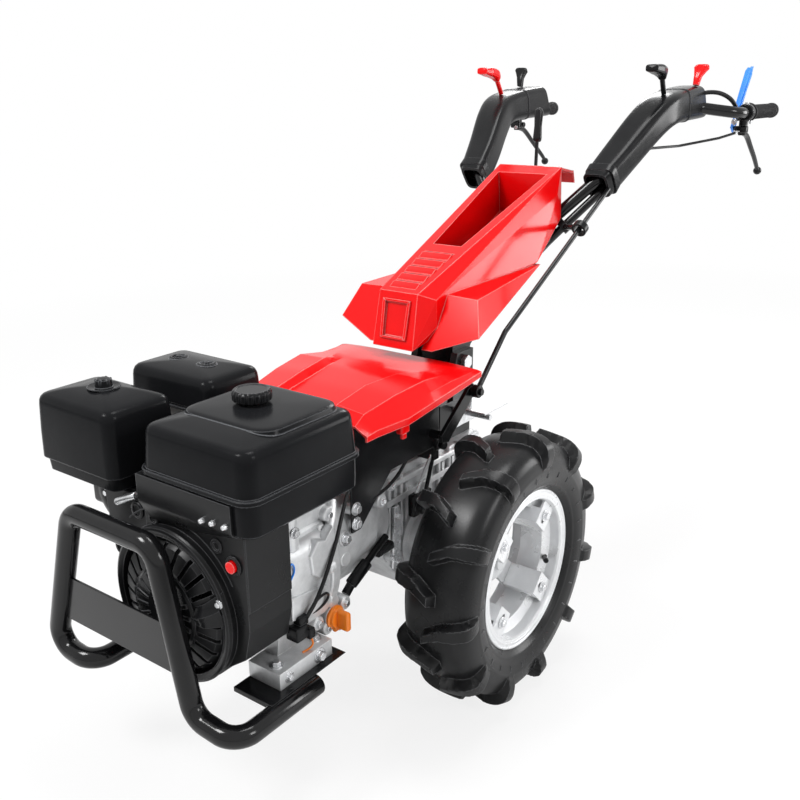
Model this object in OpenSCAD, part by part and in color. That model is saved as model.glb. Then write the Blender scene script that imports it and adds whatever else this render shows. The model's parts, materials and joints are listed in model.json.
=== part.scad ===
// Two-wheeled walking tractor with an open petrol engine, a red hood and console, and reversible lugged wheels.
// Millimetres. X is across the machine, +X its left side; -Y is forward; Z is up.
// The shared frame's origin lies midway between the two hand grips.

/* [Wheels] */
// Radius over the lug tips
tyre_r = 254; // [230:1:280]
// Tyre width over the sidewalls
tyre_w = 136; // [120:1:150]
// Height of a lug over the carcass
lug_h = 20; // [12:1:26]
// Width of a lug at its top
lug_w = 24; // [16:1:30]
// Lugs on each half of the tread
lug_n = 11; // [9:1:13]
// Slant of a lug against the axle direction
lug_slant = 34; // [20:1:45]
// Radius of the rim's flange
rim_r = 145; // [135:1:155]
// Rim width between the flange faces
rim_w = 104; // [94:1:110]
// Depth of the rim's well below the flange
rim_well = 33; // [25:1:40]
// Sheet thickness of the rim
rim_t = 4; // [3:0.5:6]
// Distance of the wheel's middle plane from the machine's middle
wheel_x = 262; // [250:1:290]
// Radius of the axle shaft
axle_r = 17.5; // [14:0.5:22]
// Radius of the wheel hub
hub_r = 36; // [30:1:44]

/* [Transmission] */
// Half width of the gearbox case
gear_hw = 76; // [64:1:86]
// Rear face of the gearbox, behind the axle
gear_rear = 215; // [200:1:240]
// Front face of the gearbox, ahead of the axle
gear_front = 112; // [100:1:130]
// Height of the gearbox top above the floor
gear_top = 412; // [395:1:425]
// Height of the gearbox bottom above the floor
gear_bot = 168; // [150:1:190]
// Radius of the axle tube on the gearbox
axle_tube_r = 52; // [42:1:60]
// Length of the axle tube's end from the machine's middle
axle_tube_x = 168; // [155:1:176]
// Radius of the clutch bell
bell_r = 104; // [94:1:108]
// Radius of the hitch socket's bore
hitch_r = 32.5; // [28:0.5:38]
// Depth of the hitch socket's bore
hitch_d = 40; // [30:1:60]
// Bolt circle of the hitch flange
hitch_pcd = 124; // [110:1:130]
// Radius of a hitch bolt hole
hitch_hole_r = 5.5; // [4.5:0.5:7]

/* [Engine] */
// Height of the crankshaft above the floor
crank_z = 335; // [325:1:345]
// Height of the engine feet's underside above the floor
base_z = 205; // [198:1:212]
// Front face of the fan housing, ahead of the axle
fan_front = 520; // [512:1:524]
// Joint between fan housing and crankcase, ahead of the axle
case_front = 432; // [420:1:445]
// Rear face of the engine, ahead of the axle
case_rear = 292; // [285:1:300]
// Half width of the engine over its feet
engine_hw = 150; // [140:1:151]
// Radius of the recoil starter
recoil_r = 112; // [98:1:114]
// How far the recoil starter stands out
recoil_h = 26; // [20:1:30]
// Slots round the recoil starter
recoil_slots = 24; // [16:1:30]
// Height of the tank's seam above the floor
tank_seam_z = 549; // [540:1:556]
// Height of the tank's upper half
tank_up = 78; // [65:1:90]
// Width of the tank across the machine
tank_w = 234; // [220:1:245]
// Length of the tank
tank_l = 250; // [235:1:260]
// Corner radius of the tank
tank_corner = 30; // [16:1:34]

/* [Guard] */
// Radius of the front guard's tube
guard_r = 17; // [13:0.5:18]
// Distance of the guard's tube ahead of the axle
guard_y = 574; // [570:1:585]
// Height of the guard's rails above the floor
guard_z = 187; // [182:1:187]
// Height of the guard's top bar above the floor
guard_top = 458; // [440:1:480]
// Sheet thickness of the guard's plate
guard_plate_t = 4; // [3:0.5:6]
// Height of the guard's plate
guard_plate_h = 80; // [60:1:95]

/* [Covers] */
// Wall thickness of the moulded covers
cover_t = 3.5; // [2.5:0.5:5]
// Half width of the hood
hood_hw = 165; // [155:1:172]
// Depth of the console's pocket
pocket_d = 85; // [60:1:95]
// Louvre steps on the console
louvres = 5; // [3:1:6]

/* [Handlebar] */
// Radius of the handlebar tube
bar_r = 13; // [11:0.5:14]
// Half distance between the hand grips
grip_x = 308; // [290:1:330]
// Height of the hand grips above the floor
grip_z = 1006; // [980:1:1030]
// Distance of the grips' middle behind the axle
grip_y = 1122; // [1100:1:1140]
// Length of a hand grip
grip_l = 196; // [150:1:210]
// Radius of a hand grip
grip_r = 17; // [15.5:0.5:20]
// Distance of the tilt bolt behind the axle
tilt_y = 190; // [180:1:200]
// Height of the tilt bolt above the floor
tilt_z = 550; // [540:1:560]
// Radius of the tilt bolt
tilt_r = 9; // [7:0.5:11]
// Half width of the tilting head
head_hw = 40; // [34:1:46]
// Radius of the selector rod
rod_r = 5; // [4:0.5:6]

/* [Hidden] */
// Gap between faces that seat on each other round a curve
fit = 0.3;
$fn = 48;

axle_z = tyre_r;
carcass_r = tyre_r - lug_h;
bead_r = rim_r - 13;

function unit(v) = v / norm(v);

// A round rod between two points
module rod(a, b, r) {
  d = b - a;
  l = norm(d);
  translate(a)
    rotate([0, acos(d[2] / l), atan2(d[1], d[0])])
      cylinder(r = r, h = l);
}

// Points along corner points, each corner rounded to the bend radius in k steps
function rounded_path(p, bend, k) = concat([p[0]], [for (i = [1:len(p) - 2])
  let (d0 = unit(p[i] - p[i - 1]), d1 = unit(p[i + 1] - p[i]), a = acos(d0 * d1),
    side = unit(cross(cross(d0, d1), d0)), c = p[i] - d0 * bend * tan(a / 2) + side * bend)
  for (j = [0:k]) c - side * bend * cos(a * j / k) + d0 * bend * sin(a * j / k)], [p[len(p) - 1]]);

// Normals carried along a path without twist
function carried(t, i, n) = i >= len(t) ? [] :
  let (m = unit(n - (n * t[i]) * t[i])) concat([m], carried(t, i + 1, m));

// A round tube along corner points, each corner bent to the given radius
module bent(p, bend, r) {
  sides_n = 16;
  path = len(p) > 2 ? rounded_path(p, bend, 5) : p;
  n = len(path);
  t = [for (i = [0:n - 1]) unit(path[min(i + 1, n - 1)] - path[max(i - 1, 0)])];
  start = abs(t[0][2]) < 0.8 ? [0, 0, 1] : [1, 0, 0];
  u = carried(t, 0, start);
  pts = [for (i = [0:n - 1]) let (v = cross(t[i], u[i])) for (j = [0:sides_n - 1])
    path[i] + r * (cos(j * 360 / sides_n) * u[i] + sin(j * 360 / sides_n) * v)];
  skin = [for (i = [0:n - 2]) for (j = [0:sides_n - 1]) let (k = (j + 1) % sides_n)
    [i * sides_n + j, (i + 1) * sides_n + j, (i + 1) * sides_n + k, i * sides_n + k]];
  ends = [[for (j = [0:sides_n - 1]) j], [for (j = [sides_n - 1:-1:0]) (n - 1) * sides_n + j]];
  polyhedron(points = pts, faces = concat(skin, ends));
}

// A cylinder along Y from y0 to y1
module along_y(x, z, r, y0, y1) {
  translate([x, y0, z])
    rotate([-90, 0, 0])
      cylinder(r = r, h = y1 - y0);
}

// A cylinder along X from x0 to x1
module along_x(y, z, r, x0, x1) {
  translate([x0, y, z])
    rotate([0, 90, 0])
      cylinder(r = r, h = x1 - x0);
}

// A profile in Y and Z drawn out along X
module side_prism(pts, x0, x1) {
  translate([x0, 0, 0])
    rotate([90, 0, 90])
      linear_extrude(height = x1 - x0)
        polygon(pts);
}

// A profile in X and Z drawn out along Y
module front_prism(pts, y0, y1) {
  translate([0, y1, 0])
    rotate([90, 0, 0])
      linear_extrude(height = y1 - y0)
        polygon(pts);
}

module box(x0, x1, y0, y1, z0, z1) {
  translate([x0, y0, z0])
    cube([x1 - x0, y1 - y0, z1 - z0]);
}

// The convex body over points given for the left half
module both_hull(pts) {
  all = concat(pts, [for (q = pts) [-q[0], q[1], q[2]]]);
  n = len(all);
  hull()
    polyhedron(points = all, faces = [for (i = [0:n - 1]) [i, (i + 1) % n, (i + 2) % n]]);
}

module placed() {
  translate([0, -grip_y, -grip_z])
    children();
}

module sides() {
  children();
  mirror([1, 0, 0])
    children();
}

// Wheels, built round the X axis at the wheel's middle

module about_axle() {
  rotate([0, 90, 0])
    rotate([0, 0, 90])
      children();
}

// A lug's outline seen from above the tread, from its nose at the middle to its flared shoulder end
lug_plan = [[-7, -lug_w * 0.4], [26, lug_w * 0.35], [tyre_w / 2 + 4, lug_w * 0.65], [tyre_w / 2 + 4, lug_w * 1.95],
  [26, lug_w * 1.4], [-7, lug_w * 0.45]];

module tyre() {
  half = [[rim_w / 2 - rim_t - fit, bead_r + fit], [rim_w / 2 - rim_t - fit, rim_r + 2 * fit],
    [rim_w / 2 + 6, rim_r + 9], [tyre_w / 2, rim_r + 36], [tyre_w / 2 - 1, carcass_r - 36],
    [tyre_w / 2 - 8, carcass_r - 14], [tyre_w / 2 - 22, carcass_r - 4], [0, carcass_r]];
  full = concat(half, [for (i = [len(half) - 2:-1:0]) [-half[i][0], half[i][1]]]);
  reach = [[-8, carcass_r - 12], [-8, tyre_r - 1], [tyre_w / 2 - 26, tyre_r - 3], [tyre_w / 2 - 8, tyre_r - 10],
    [tyre_w / 2 + 2, carcass_r - 26], [tyre_w / 2 + 1, carcass_r - 38], [tyre_w / 2 - 12, carcass_r - 40],
    [tyre_w / 2 - 30, carcass_r - 12]];
  about_axle()
    rotate_extrude($fn = 96)
      polygon([for (q = full) [q[1], q[0]]]);
  for (i = [0:lug_n - 1])
    for (s = [0, 1])
      rotate([(i + s / 2) * 360 / lug_n, 0, 0])
        mirror([s, 0, 0])
          intersection() {
            translate([0, 0, carcass_r - 60])
              linear_extrude(height = lug_h + 60)
                polygon(lug_plan);
            about_axle()
              rotate_extrude($fn = 96)
                polygon([for (q = reach) [q[1], q[0]]]);
          }
}

// The four channels welded inside the rim, which the hub bolts to
bracket_in = -20;
bracket_l = 64;
bracket_w = 44;
bracket_d = 27;

module rim() {
  w = rim_w / 2;
  outer = [[-w, rim_r], [-w + rim_t, rim_r], [-w + rim_t, bead_r], [-w * 0.55, bead_r - 2],
    [-w * 0.4, rim_r - rim_well], [w * 0.4, rim_r - rim_well], [w * 0.55, bead_r - 2], [w - rim_t, bead_r],
    [w - rim_t, rim_r], [w, rim_r]];
  inner = [[w, bead_r - 2], [w - rim_t, bead_r - rim_t], [w * 0.55 + 2, bead_r - 2 - rim_t],
    [w * 0.4 + 2, rim_r - rim_well - rim_t], [-w * 0.4 - 2, rim_r - rim_well - rim_t],
    [-w * 0.55 - 2, bead_r - 2 - rim_t], [-w + rim_t, bead_r - rim_t], [-w, bead_r - 2]];
  about_axle()
    rotate_extrude($fn = 96)
      polygon([for (q = concat(outer, inner)) [q[1], q[0]]]);
  bracket_r = rim_r - rim_well - rim_t;
  ledge_r = bead_r - 2 - rim_t;
  for (i = [0:3])
    rotate([45 + i * 90, 0, 0])
      difference() {
        union() {
          translate([bracket_in, -bracket_w / 2, bracket_r - bracket_d])
            cube([bracket_l, bracket_w, bracket_d + 2]);
          translate([bracket_in + bracket_l - rim_t, -bracket_w / 2, bracket_r - bracket_d])
            cube([rim_t, bracket_w, ledge_r + 1 - bracket_r + bracket_d]);
        }
        translate([bracket_in + rim_t, rim_t - bracket_w / 2, bracket_r - bracket_d + rim_t])
          cube([bracket_l - 2 * rim_t, bracket_w - 2 * rim_t, bracket_d]);
        for (x = [bracket_in, bracket_in + bracket_l - rim_t])
          translate([x - 1, 0, bracket_r - bracket_d / 2])
            rotate([0, 90, 0])
              cylinder(r = 5.5, h = rim_t + 2);
      }
}

module hub() {
  arm = rim_r - rim_well - rim_t - 4;
  bolt_at = rim_r - rim_well - rim_t - bracket_d / 2;
  plate_x = bracket_in - 8 - fit;
  shaft_in = -wheel_x + gear_hw + 20;
  boss_in = -wheel_x + axle_tube_x + 2;
  boss_out = plate_x + 20;
  union() {
    rotate([0, 90, 0])
      rotate_extrude()
        polygon([[0, shaft_in], [axle_r, shaft_in], [axle_r, boss_in], [hub_r, boss_in], [hub_r, boss_out],
          [axle_r, boss_out], [axle_r, boss_out + 9], [0, boss_out + 9]]);
    translate([plate_x, 0, 0])
      rotate([0, 90, 0])
        linear_extrude(height = 8)
          difference() {
            union() {
              circle(r = hub_r + 12);
              for (i = [0:1])
                rotate(45 + i * 90)
                  square([2 * arm, 42], center = true);
            }
            for (i = [0:3])
              rotate(45 + i * 90)
                translate([bolt_at, 0])
                  circle(r = 5.5);
          }
  }
}

module on_left() {
  translate([wheel_x, 0, axle_z])
    children();
}

module on_right() {
  mirror([1, 0, 0])
    translate([wheel_x, 0, axle_z])
      children();
}

module left_tyre() color("#1d1d1f") on_left() tyre();
module right_tyre() color("#1d1d1f") on_right() tyre();
module left_rim() color("#c9ccd0") on_left() rim();
module right_rim() color("#c9ccd0") on_right() rim();
module left_hub() color("#8d9196") on_left() hub();
module right_hub() color("#8d9196") on_right() hub();

// Transmission

module gearbox_case() {
  top = gear_top;
  body = [[-gear_front, 250], [-gear_front, top], [70, top], [100, top - 12], [gear_rear, top - 12],
    [gear_rear, 205], [130, gear_bot], [-50, gear_bot]];
  color("#a9adb2")
    difference() {
      union() {
        side_prism(body, -gear_hw, gear_hw);
        for (s = [-1, 1]) {
          along_x(0, axle_z, axle_tube_r, s > 0 ? gear_hw - 1 : -axle_tube_x, s > 0 ? axle_tube_x : 1 - gear_hw);
          along_x(0, axle_z, axle_tube_r + 16, s > 0 ? gear_hw - 1 : -gear_hw - 12, s > 0 ? gear_hw + 12 : 1 - gear_hw);
          for (y = [-80, -45, 75, 110, 150])
            box(s > 0 ? gear_hw - 1 : -gear_hw - 6, s > 0 ? gear_hw + 6 : 1 - gear_hw, y - 4, y + 4, 225, 380);
          box(s > 0 ? gear_hw - 1 : -gear_hw - 9, s > 0 ? gear_hw + 9 : 1 - gear_hw, -gear_front, gear_rear, 352, 364);
        }
        translate([58, -52, top - 1])
          cylinder(r = 15, h = 22);
      }
      for (s = [-1, 1])
        along_x(0, axle_z, axle_r + fit, s > 0 ? gear_hw + 14 : -axle_tube_x - 1, s > 0 ? axle_tube_x + 1 : -gear_hw - 14);
    }
}

module gear_filler_cap() {
  color("#161617")
    translate([58, -52, gear_top + 21])
      cylinder(r = 17, h = 9);
}

module bell_housing() {
  color("#b4b8bc")
    difference() {
      union() {
        translate([0, 0, crank_z])
          rotate([-90, 0, 0])
            rotate_extrude()
              polygon([[0, -case_rear], [bell_r + 12, -case_rear], [bell_r + 12, -case_rear + 14], [bell_r, -case_rear + 20],
                [bell_r, -165], [bell_r - 14, -gear_front], [0, -gear_front]]);
        for (s = [-1, 1])
          for (z = [373, 399])
            along_x(-225, z, 9, s > 0 ? 80 : -104, s > 0 ? 104 : -80);
        for (a = [45:90:315])
          translate([(bell_r + 8) * cos(a), -case_rear, crank_z + (bell_r + 8) * sin(a)])
            rotate([-90, 0, 0])
              cylinder(r = 14, h = 14);
      }
    }
}

module hitch_flange() {
  color("#55585c")
    difference() {
      union() {
        along_y(0, 300, hitch_pcd / 2 + 16, gear_rear, gear_rear + 18);
        along_y(0, 300, hitch_r + 14, gear_rear, gear_rear + hitch_d);
      }
      along_y(0, 300, hitch_r, gear_rear - 1, gear_rear + hitch_d + 1);
      for (a = [45:90:315])
        along_y(hitch_pcd / 2 * cos(a), 300 + hitch_pcd / 2 * sin(a), hitch_hole_r, gear_rear - 1, gear_rear + 20);
    }
}

// The brake rods lean back past the bar under the hood
module brake_linkage() {
  low = axle_z + 91;
  back = max(36, (cross_y + 5.4) * 95 / (gear_top - low));
  color("#2a2b2d")
    sides() {
      box(gear_hw + 12, gear_hw + 20, -14, 14, axle_z + 64, axle_z + 96);
      rod([gear_hw + 16, 0, low], [gear_hw + 16, back, low + 95], 4);
      box(gear_hw + 10, gear_hw + 26, back - 10, back + 8, low + 93, low + 111);
    }
}

// Engine

case_pts = [[-96, base_z + 20], [112, base_z + 20], [122, 300], [114, 420], [70, 470], [-60, 470], [-104, 432],
  [-108, 300]];

foot_front = 466;
foot_rear = 346;
oil_y = -314;
oil_z = 250;

module engine_block() {
  color("#b9bcc0")
    difference() {
      union() {
        front_prism(case_pts, -case_front, -case_rear - 4);
        along_y(0, crank_z, bell_r + 6, -case_rear - 21, -case_rear);
        for (s = [-1, 1])
          box(s > 0 ? 84 : -engine_hw, s > 0 ? engine_hw : -84, -foot_front, -foot_rear, base_z, base_z + 28);
        box(-90, 90, -case_front, -346, base_z, base_z + 24);
        for (z = [270, 310, 350, 390])
          box(100, 128 - abs(z - 320) / 14, -case_front + 12, -case_rear - 32, z, z + 14);
        along_x(oil_y, oil_z, 20, 90, 128);
      }
      for (s = [-1, 1])
        for (y = [16 - foot_front, -foot_rear - 16])
          translate([s * 128, y, base_z - 1])
            cylinder(r = 5.5, h = 32);
    }
}

// The cylinder's own frame, leaning up towards the machine's right
module barrel_frame() {
  translate([-106, -372, 385])
    rotate([0, 25, 0])
      translate([-132, -56, -58])
        children();
}

module engine_cylinder() {
  color("#9fa3a8")
    difference() {
      barrel_frame()
        union() {
          translate([0, 14, 14])
            cube([140, 84, 88]);
          for (i = [0:6])
            translate([24 + i * 14, 0, 0])
              cube([5, 112, 116]);
          translate([0, 6, 6])
            cube([20, 100, 104]);
        }
      front_prism(case_pts, -case_front - 1, -case_rear);
    }
}

module fan_housing() {
  top_z = tank_seam_z - 59;
  scroll = [[-60, crank_z], [-60, top_z], [engine_hw, top_z], [engine_hw, crank_z], [138, 285], [60, 228], [0, 250]];
  color("#1a1b1d")
    difference() {
      union() {
        front_prism(scroll, -fan_front, -case_front);
        along_y(0, crank_z, recoil_r + 14, -fan_front, -case_front);
        translate([0, -fan_front, crank_z])
          rotate([90, 0, 0])
            rotate_extrude($fn = 96)
              polygon([[recoil_r - 6, -2], [recoil_r + 13, -2], [recoil_r + 12, 9], [recoil_r + 8, 15], [recoil_r + 4, 16],
                [recoil_r - 6, 16]]);
      }
      along_y(0, crank_z, recoil_r + fit, -fan_front - 20, -fan_front + 12);
    }
}

module recoil_starter() {
  h = recoil_h;
  t = 3;
  pts = [[0, -h], [recoil_r - 40, -h], [recoil_r - 12, -h + 9], [recoil_r, -h + 24], [recoil_r, 12], [recoil_r - t, 12],
    [recoil_r - t, -h + 26], [recoil_r - 14, -h + 9 + t], [recoil_r - 41, -h + t], [0, -h + t]];
  color("#222326")
    translate([0, -fan_front, crank_z])
      rotate([-90, 0, 0])
        difference() {
          rotate_extrude($fn = 72)
            polygon(pts);
          for (i = [0:recoil_slots - 1])
            rotate([0, 0, i * 360 / recoil_slots]) {
              translate([recoil_r - 44, -3.5, -h - 1])
                cube([36, 7, 24]);
              if (i % 2 == 0)
                translate([recoil_r - 80, -3.5, -h - 1])
                  cube([26, 7, 8]);
            }
        }
}

module stop_button() {
  color("#d3161b")
    along_y(128, 437, 9, -fan_front - 9, -fan_front);
}

module round_slab(x0, x1, y0, y1, z0, z1, c) {
  hull()
    for (x = [x0 + c, x1 - c])
      for (y = [y0 + c, y1 - c])
        translate([x, y, z0])
          cylinder(r = c, h = z1 - z0, $fn = 32);
}

// A moulded cover with rounded upright edges and a smaller crowned top
module dome_box(x0, x1, y0, y1, z0, z1, c, draft) {
  hull() {
    for (x = [x0 + c, x1 - c])
      for (y = [y0 + c, y1 - c]) {
        translate([x, y, z0])
          cylinder(r = c, h = 1, $fn = 32);
        translate([x + (x > (x0 + x1) / 2 ? -draft : draft), y + (y > (y0 + y1) / 2 ? -draft : draft), z1 - c * 0.7])
          scale(0.7)
            sphere(r = c, $fn = 32);
      }
  }
}

module fuel_tank() {
  x0 = -49;
  y0 = -540;
  x1 = x0 + tank_w;
  y1 = y0 + tank_l;
  color("#151617")
    union() {
      dome_box(x0 + 4, x1 - 4, y0 + 4, y1 - 4, tank_seam_z, tank_seam_z + tank_up, tank_corner, 12);
      round_slab(x0, x1, y0, y1, tank_seam_z - 4, tank_seam_z + 4, tank_corner);
      round_slab(x0 + 5, x1 - 5, y0 + 5, y1 - 5, tank_seam_z - 59, tank_seam_z, tank_corner);
      translate([50, -391, tank_seam_z + tank_up - 4])
        cylinder(r = 37, h = 10);
    }
}

module fuel_cap() {
  color("#101011")
    translate([50, -391, tank_seam_z + tank_up + 6])
      difference() {
        cylinder(r = 30, h = 16);
        for (a = [0:15:345])
          rotate([0, 0, a])
            translate([30, -1.5, -1])
              cube([3, 3, 18]);
      }
}

module air_filter() {
  color("#17181a")
    union() {
      dome_box(-286, -95, -545, -413, 514, 634, 20, 5);
      round_slab(-280, -101, -539, -419, 490, 515, 16);
      translate([-186, -479, 628])
        cylinder(r = 20, h = 8);
      translate([-186, -479, 634])
        cylinder(r = 11, h = 12);
    }
}

module carburettor() {
  color("#7d8084")
    union() {
      box(-205, -150, -468, -434, 398, 490);
      along_y(-178, 425, 22, -462, -428 - fit);
    }
}

module muffler() {
  color("#5d5f62")
    difference() {
      union() {
        round_slab(-252, -106, -366, -254, 500, 570, 26);
        box(-200, -150, -350, -322, 430, 502);
      }
      barrel_frame()
        cube([132, 112, 116]);
    }
}

module muffler_cover() {
  color("#17181a")
    difference() {
      dome_box(-266, -66, -376, -248, 570, 638, 20, 6);
      for (x = [-200, -140])
        translate([x, -312, 630])
          cylinder(r = 10, h = 20);
    }
}

module oil_filler_cap() {
  color("#f08a1c")
    union() {
      along_x(oil_y, oil_z, 16, 128, 139);
      box(138, 162, oil_y - 5, oil_y + 5, oil_z - 16, oil_z + 16);
    }
}

module engine_wiring() {
  color("#141415")
    box(124.5, 150, -424, -398, 262, 288);
}

module engine_cradle() {
  color("#1b1c1e")
    difference() {
      sides()
        box(84, 165, -500, -330, base_z - 8, base_z);
      sides()
        along_y(165, guard_z, guard_r + fit, -520, -320);
    }
}

guard_pts = [[165, -400, guard_z], [165, -guard_y, guard_z], [78, -guard_y, guard_z + 6], [24, -guard_y, guard_top],
  [-170, -guard_y, guard_top], [-258, -guard_y, guard_z + 6], [-165, -guard_y, guard_z], [-165, -400, guard_z]];

module front_guard() {
  color("#161719")
    bent(guard_pts, 34, guard_r);
}

module guard_plate() {
  z0 = guard_z + 68;
  k = guard_top - guard_z - 6;
  lx = [for (z = [z0, z0 + guard_plate_h]) 78 - 54 * (z - guard_z - 6) / k];
  rx = [for (z = [z0, z0 + guard_plate_h]) -258 + 88 * (z - guard_z - 6) / k];
  color("#1b1c1e")
    difference() {
      front_prism([[lx[0], z0], [lx[1], z0 + guard_plate_h], [rx[1], z0 + guard_plate_h], [rx[0], z0]],
        -guard_y - guard_plate_t / 2, -guard_y + guard_plate_t / 2);
      rod(guard_pts[2], guard_pts[3], guard_r + fit);
      rod(guard_pts[4], guard_pts[5], guard_r + fit);
    }
}

// Hood and its carrier

// Rows across the hood from front to rear: each gives y, then x and z of the sunken panel, the ridge's two
// edges, the flank's fold, the rim and the foot of the skirt
hood_rows = [
  [-245, [[0, 556], [66, 556], [72, 560], [126, 560], [140, 552], [hood_hw - 15, 548], [hood_hw - 15, 538]]],
  [-222, [[0, 568], [62, 568], [70, 580], [126, 574], [142, 562], [hood_hw - 12, 552], [hood_hw - 12, 540]]],
  [-150, [[0, 580], [62, 580], [72, 594], [134, 588], [152, 570], [hood_hw, 555], [hood_hw, 543]]],
  [-76, [[0, 588], [70, 588], [84, 598], [142, 596], [157, 578], [hood_hw, 563], [hood_hw, 551]]],
  [-11, [[0, 588], [80, 588], [104, 590], [135, 587], [155, 580], [hood_hw, 570], [hood_hw, 558]]],
  [74, [[0, 583], [90, 583], [120, 582], [140, 581], [156, 580], [hood_hw, 578], [hood_hw, 568]]]];

// The first k columns of a row, mirrored to both sides and set in by t from the outside
function hood_line(row, k, t) = let (q = [for (i = [0:k]) [row[1][i][0] - (i > 4 ? t : 0), row[0],
  row[1][i][1] - (i < 6 ? t : 0)]]) concat([for (i = [k:-1:1]) [-q[i][0], q[i][1], q[i][2]]], q);

// A closed body between two sheets of the same rows and columns, the first on top
module between(top, low) {
  n = len(top);
  m = len(top[0]);
  pts = concat([for (r = top) for (q = r) q], [for (r = low) for (q = r) q]);
  function at(i, j) = i * m + j;
  function under(i, j) = n * m + i * m + j;
  up = [for (i = [0:n - 2]) for (j = [0:m - 2]) for (k = [0, 1])
    k == 0 ? [at(i, j), at(i + 1, j), at(i + 1, j + 1)] : [at(i, j), at(i + 1, j + 1), at(i, j + 1)]];
  down = [for (i = [0:n - 2]) for (j = [0:m - 2]) for (k = [0, 1])
    k == 0 ? [under(i, j), under(i + 1, j + 1), under(i + 1, j)] : [under(i, j), under(i, j + 1), under(i + 1, j + 1)]];
  ends = [for (j = [0:m - 2]) for (k = [0, 1]) k == 0 ? [at(0, j), at(0, j + 1), under(0, j + 1), under(0, j)] :
    [at(n - 1, j + 1), at(n - 1, j), under(n - 1, j), under(n - 1, j + 1)]];
  walls = [for (i = [0:n - 2]) for (k = [0, 1]) k == 0 ? [at(i + 1, 0), at(i, 0), under(i, 0), under(i + 1, 0)] :
    [at(i, m - 1), at(i + 1, m - 1), under(i + 1, m - 1), under(i, m - 1)]];
  polyhedron(points = pts, faces = concat(up, down, ends, walls));
}

module hood() {
  color("#e01319")
    between([for (r = hood_rows) hood_line(r, 6, 0)], [for (r = hood_rows) hood_line(r, 6, cover_t)]);
}

// Everything above the hood's underside, to trim what carries it
module over_hood() {
  low = [for (r = hood_rows) hood_line(r, 4, cover_t + fit)];
  between([for (r = low) [for (q = r) [q[0], q[1], 700]]], low);
}

cross_y = 20;

module hood_support() {
  color("#1a1b1d")
    union() {
      difference() {
        union() {
          sides()
            box(104, 108, -236, 20, 440, 640);
          box(-108, 108, -236, -232, 440, 640);
        }
        over_hood();
      }
      sides()
        side_prism([[-236, 520], [20, 520], [20, 446], [-120, 446], [-214, 362], [-236, 362]], 104, 108);
      box(-108, 108, -236, -232, 446, 521);
      box(-108, 108, cross_y - 16, cross_y, gear_top, 470);
    }
}

// Column and rear fittings

module column_bracket() {
  color("#202123")
    difference() {
      union() {
        box(-head_hw - 14, head_hw + 14, 104, gear_rear - 2, gear_top - 12, 478);
        sides()
          side_prism([[150, 470], [222, 470], [222, tilt_z + 22], [tilt_y - 26, tilt_z + 22], [150, tilt_z - 20]],
            head_hw + fit, head_hw + 14);
      }
      along_x(tilt_y, tilt_z, tilt_r + fit, -head_hw - 20, head_hw + 20);
    }
}

module tilt_bolt() {
  color("#8f9398")
    union() {
      along_x(tilt_y, tilt_z, tilt_r, -head_hw - 16, head_hw + 16);
      sides()
        translate([head_hw + 14 + fit, tilt_y, tilt_z])
          rotate([0, 90, 0])
            cylinder(r = tilt_r + 6, h = 9, $fn = 6);
    }
}

module hitch_plate() {
  color("#9da1a6")
    union() {
      box(head_hw + 14, 128, 150, 240, 462, 466);
      box(head_hw + 14, head_hw + 18, 150, 240, 420, 463);
      rod([head_hw + 16, 200, 440], [112, 200, 440], 6);
    }
}

module tilt_head() {
  color("#202123")
    difference() {
      union() {
        side_prism([[tilt_y - 22, tilt_z - 18], [tilt_y + 22, tilt_z - 18], [235, 575], [330, 632], [352, 690],
          [330, 704], [215, 640], [tilt_y - 22, tilt_z + 30]], -head_hw, head_hw);
        side_prism([[292, 660], [352, 660], [352, tray_z(352) - 0.2], [292, tray_z(292) - 0.2]], -16, 16);
      }
      along_x(tilt_y, tilt_z, tilt_r + fit, -head_hw - 1, head_hw + 1);
      bars_cut();
      mirror([1, 0, 0])
        bars_cut();
    }
}

// Handlebar

grip_y0 = grip_y - grip_l / 2;
fork_y = 560;
handle_y = grip_y0 - 124;
// Place along the bars between the fork and the handle's bend
function aft(share) = fork_y + share * (handle_y - fork_y);
bar_pts = [[24, 215, 590], [66, 517, 794], [152, fork_y, 884], [204, aft(0.5147), 1018], [222, handle_y, 1020],
  [grip_x, grip_y0 - 64, grip_z], [grip_x, grip_y + grip_l / 2, grip_z]];
brace_pts = [[20, 300, 622], [70, 500, 752], [150, 562, 850], [160, 600, 880]];
brace_r = bar_r - 4;

module bars_cut() {
  bent(bar_pts, 48, bar_r + fit);
  bent(brace_pts, 40, brace_r + fit);
  bent([brace_pts[3], brace_pts[3] + unit(brace_pts[3] - brace_pts[2])], 0, brace_r + fit);
}

module left_bar() {
  color("#131415")
    union() {
      bent(bar_pts, 48, bar_r);
      bent(concat([brace_pts[0] + [0, fit, fit]], [for (i = [1:3]) brace_pts[i]]), 40, brace_r);
    }
}

module right_bar() {
  mirror([1, 0, 0])
    left_bar();
}

// Sections of a sleeve from its collar to its open rear end: middle, half width, half depth, forward lean
sleeve_rows = [[[153, fork_y - 15, 868], 27, 31, 37], [[158, fork_y + 2, 882], 30, 32, 37],
  [[172, aft(0.1765), 928], 34, 32, 36], [[192, aft(0.3824), 986], 37, 33, 30], [[203, aft(0.5353), 1014], 38.5, 33, 14],
  [[203.5, aft(0.75), 1025], 38.5, 36, 12], [[203.5, aft(1.0559), 1031], 38.5, 41, 27]];

// Height of a sleeve's top over its rear half
function sleeve_top(y) = lookup(y, [for (i = [3:6]) let (r = sleeve_rows[i])
  [r[0][1] - r[2] * sin(r[3]), r[0][2] + r[2] * cos(r[3])]]);

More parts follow.
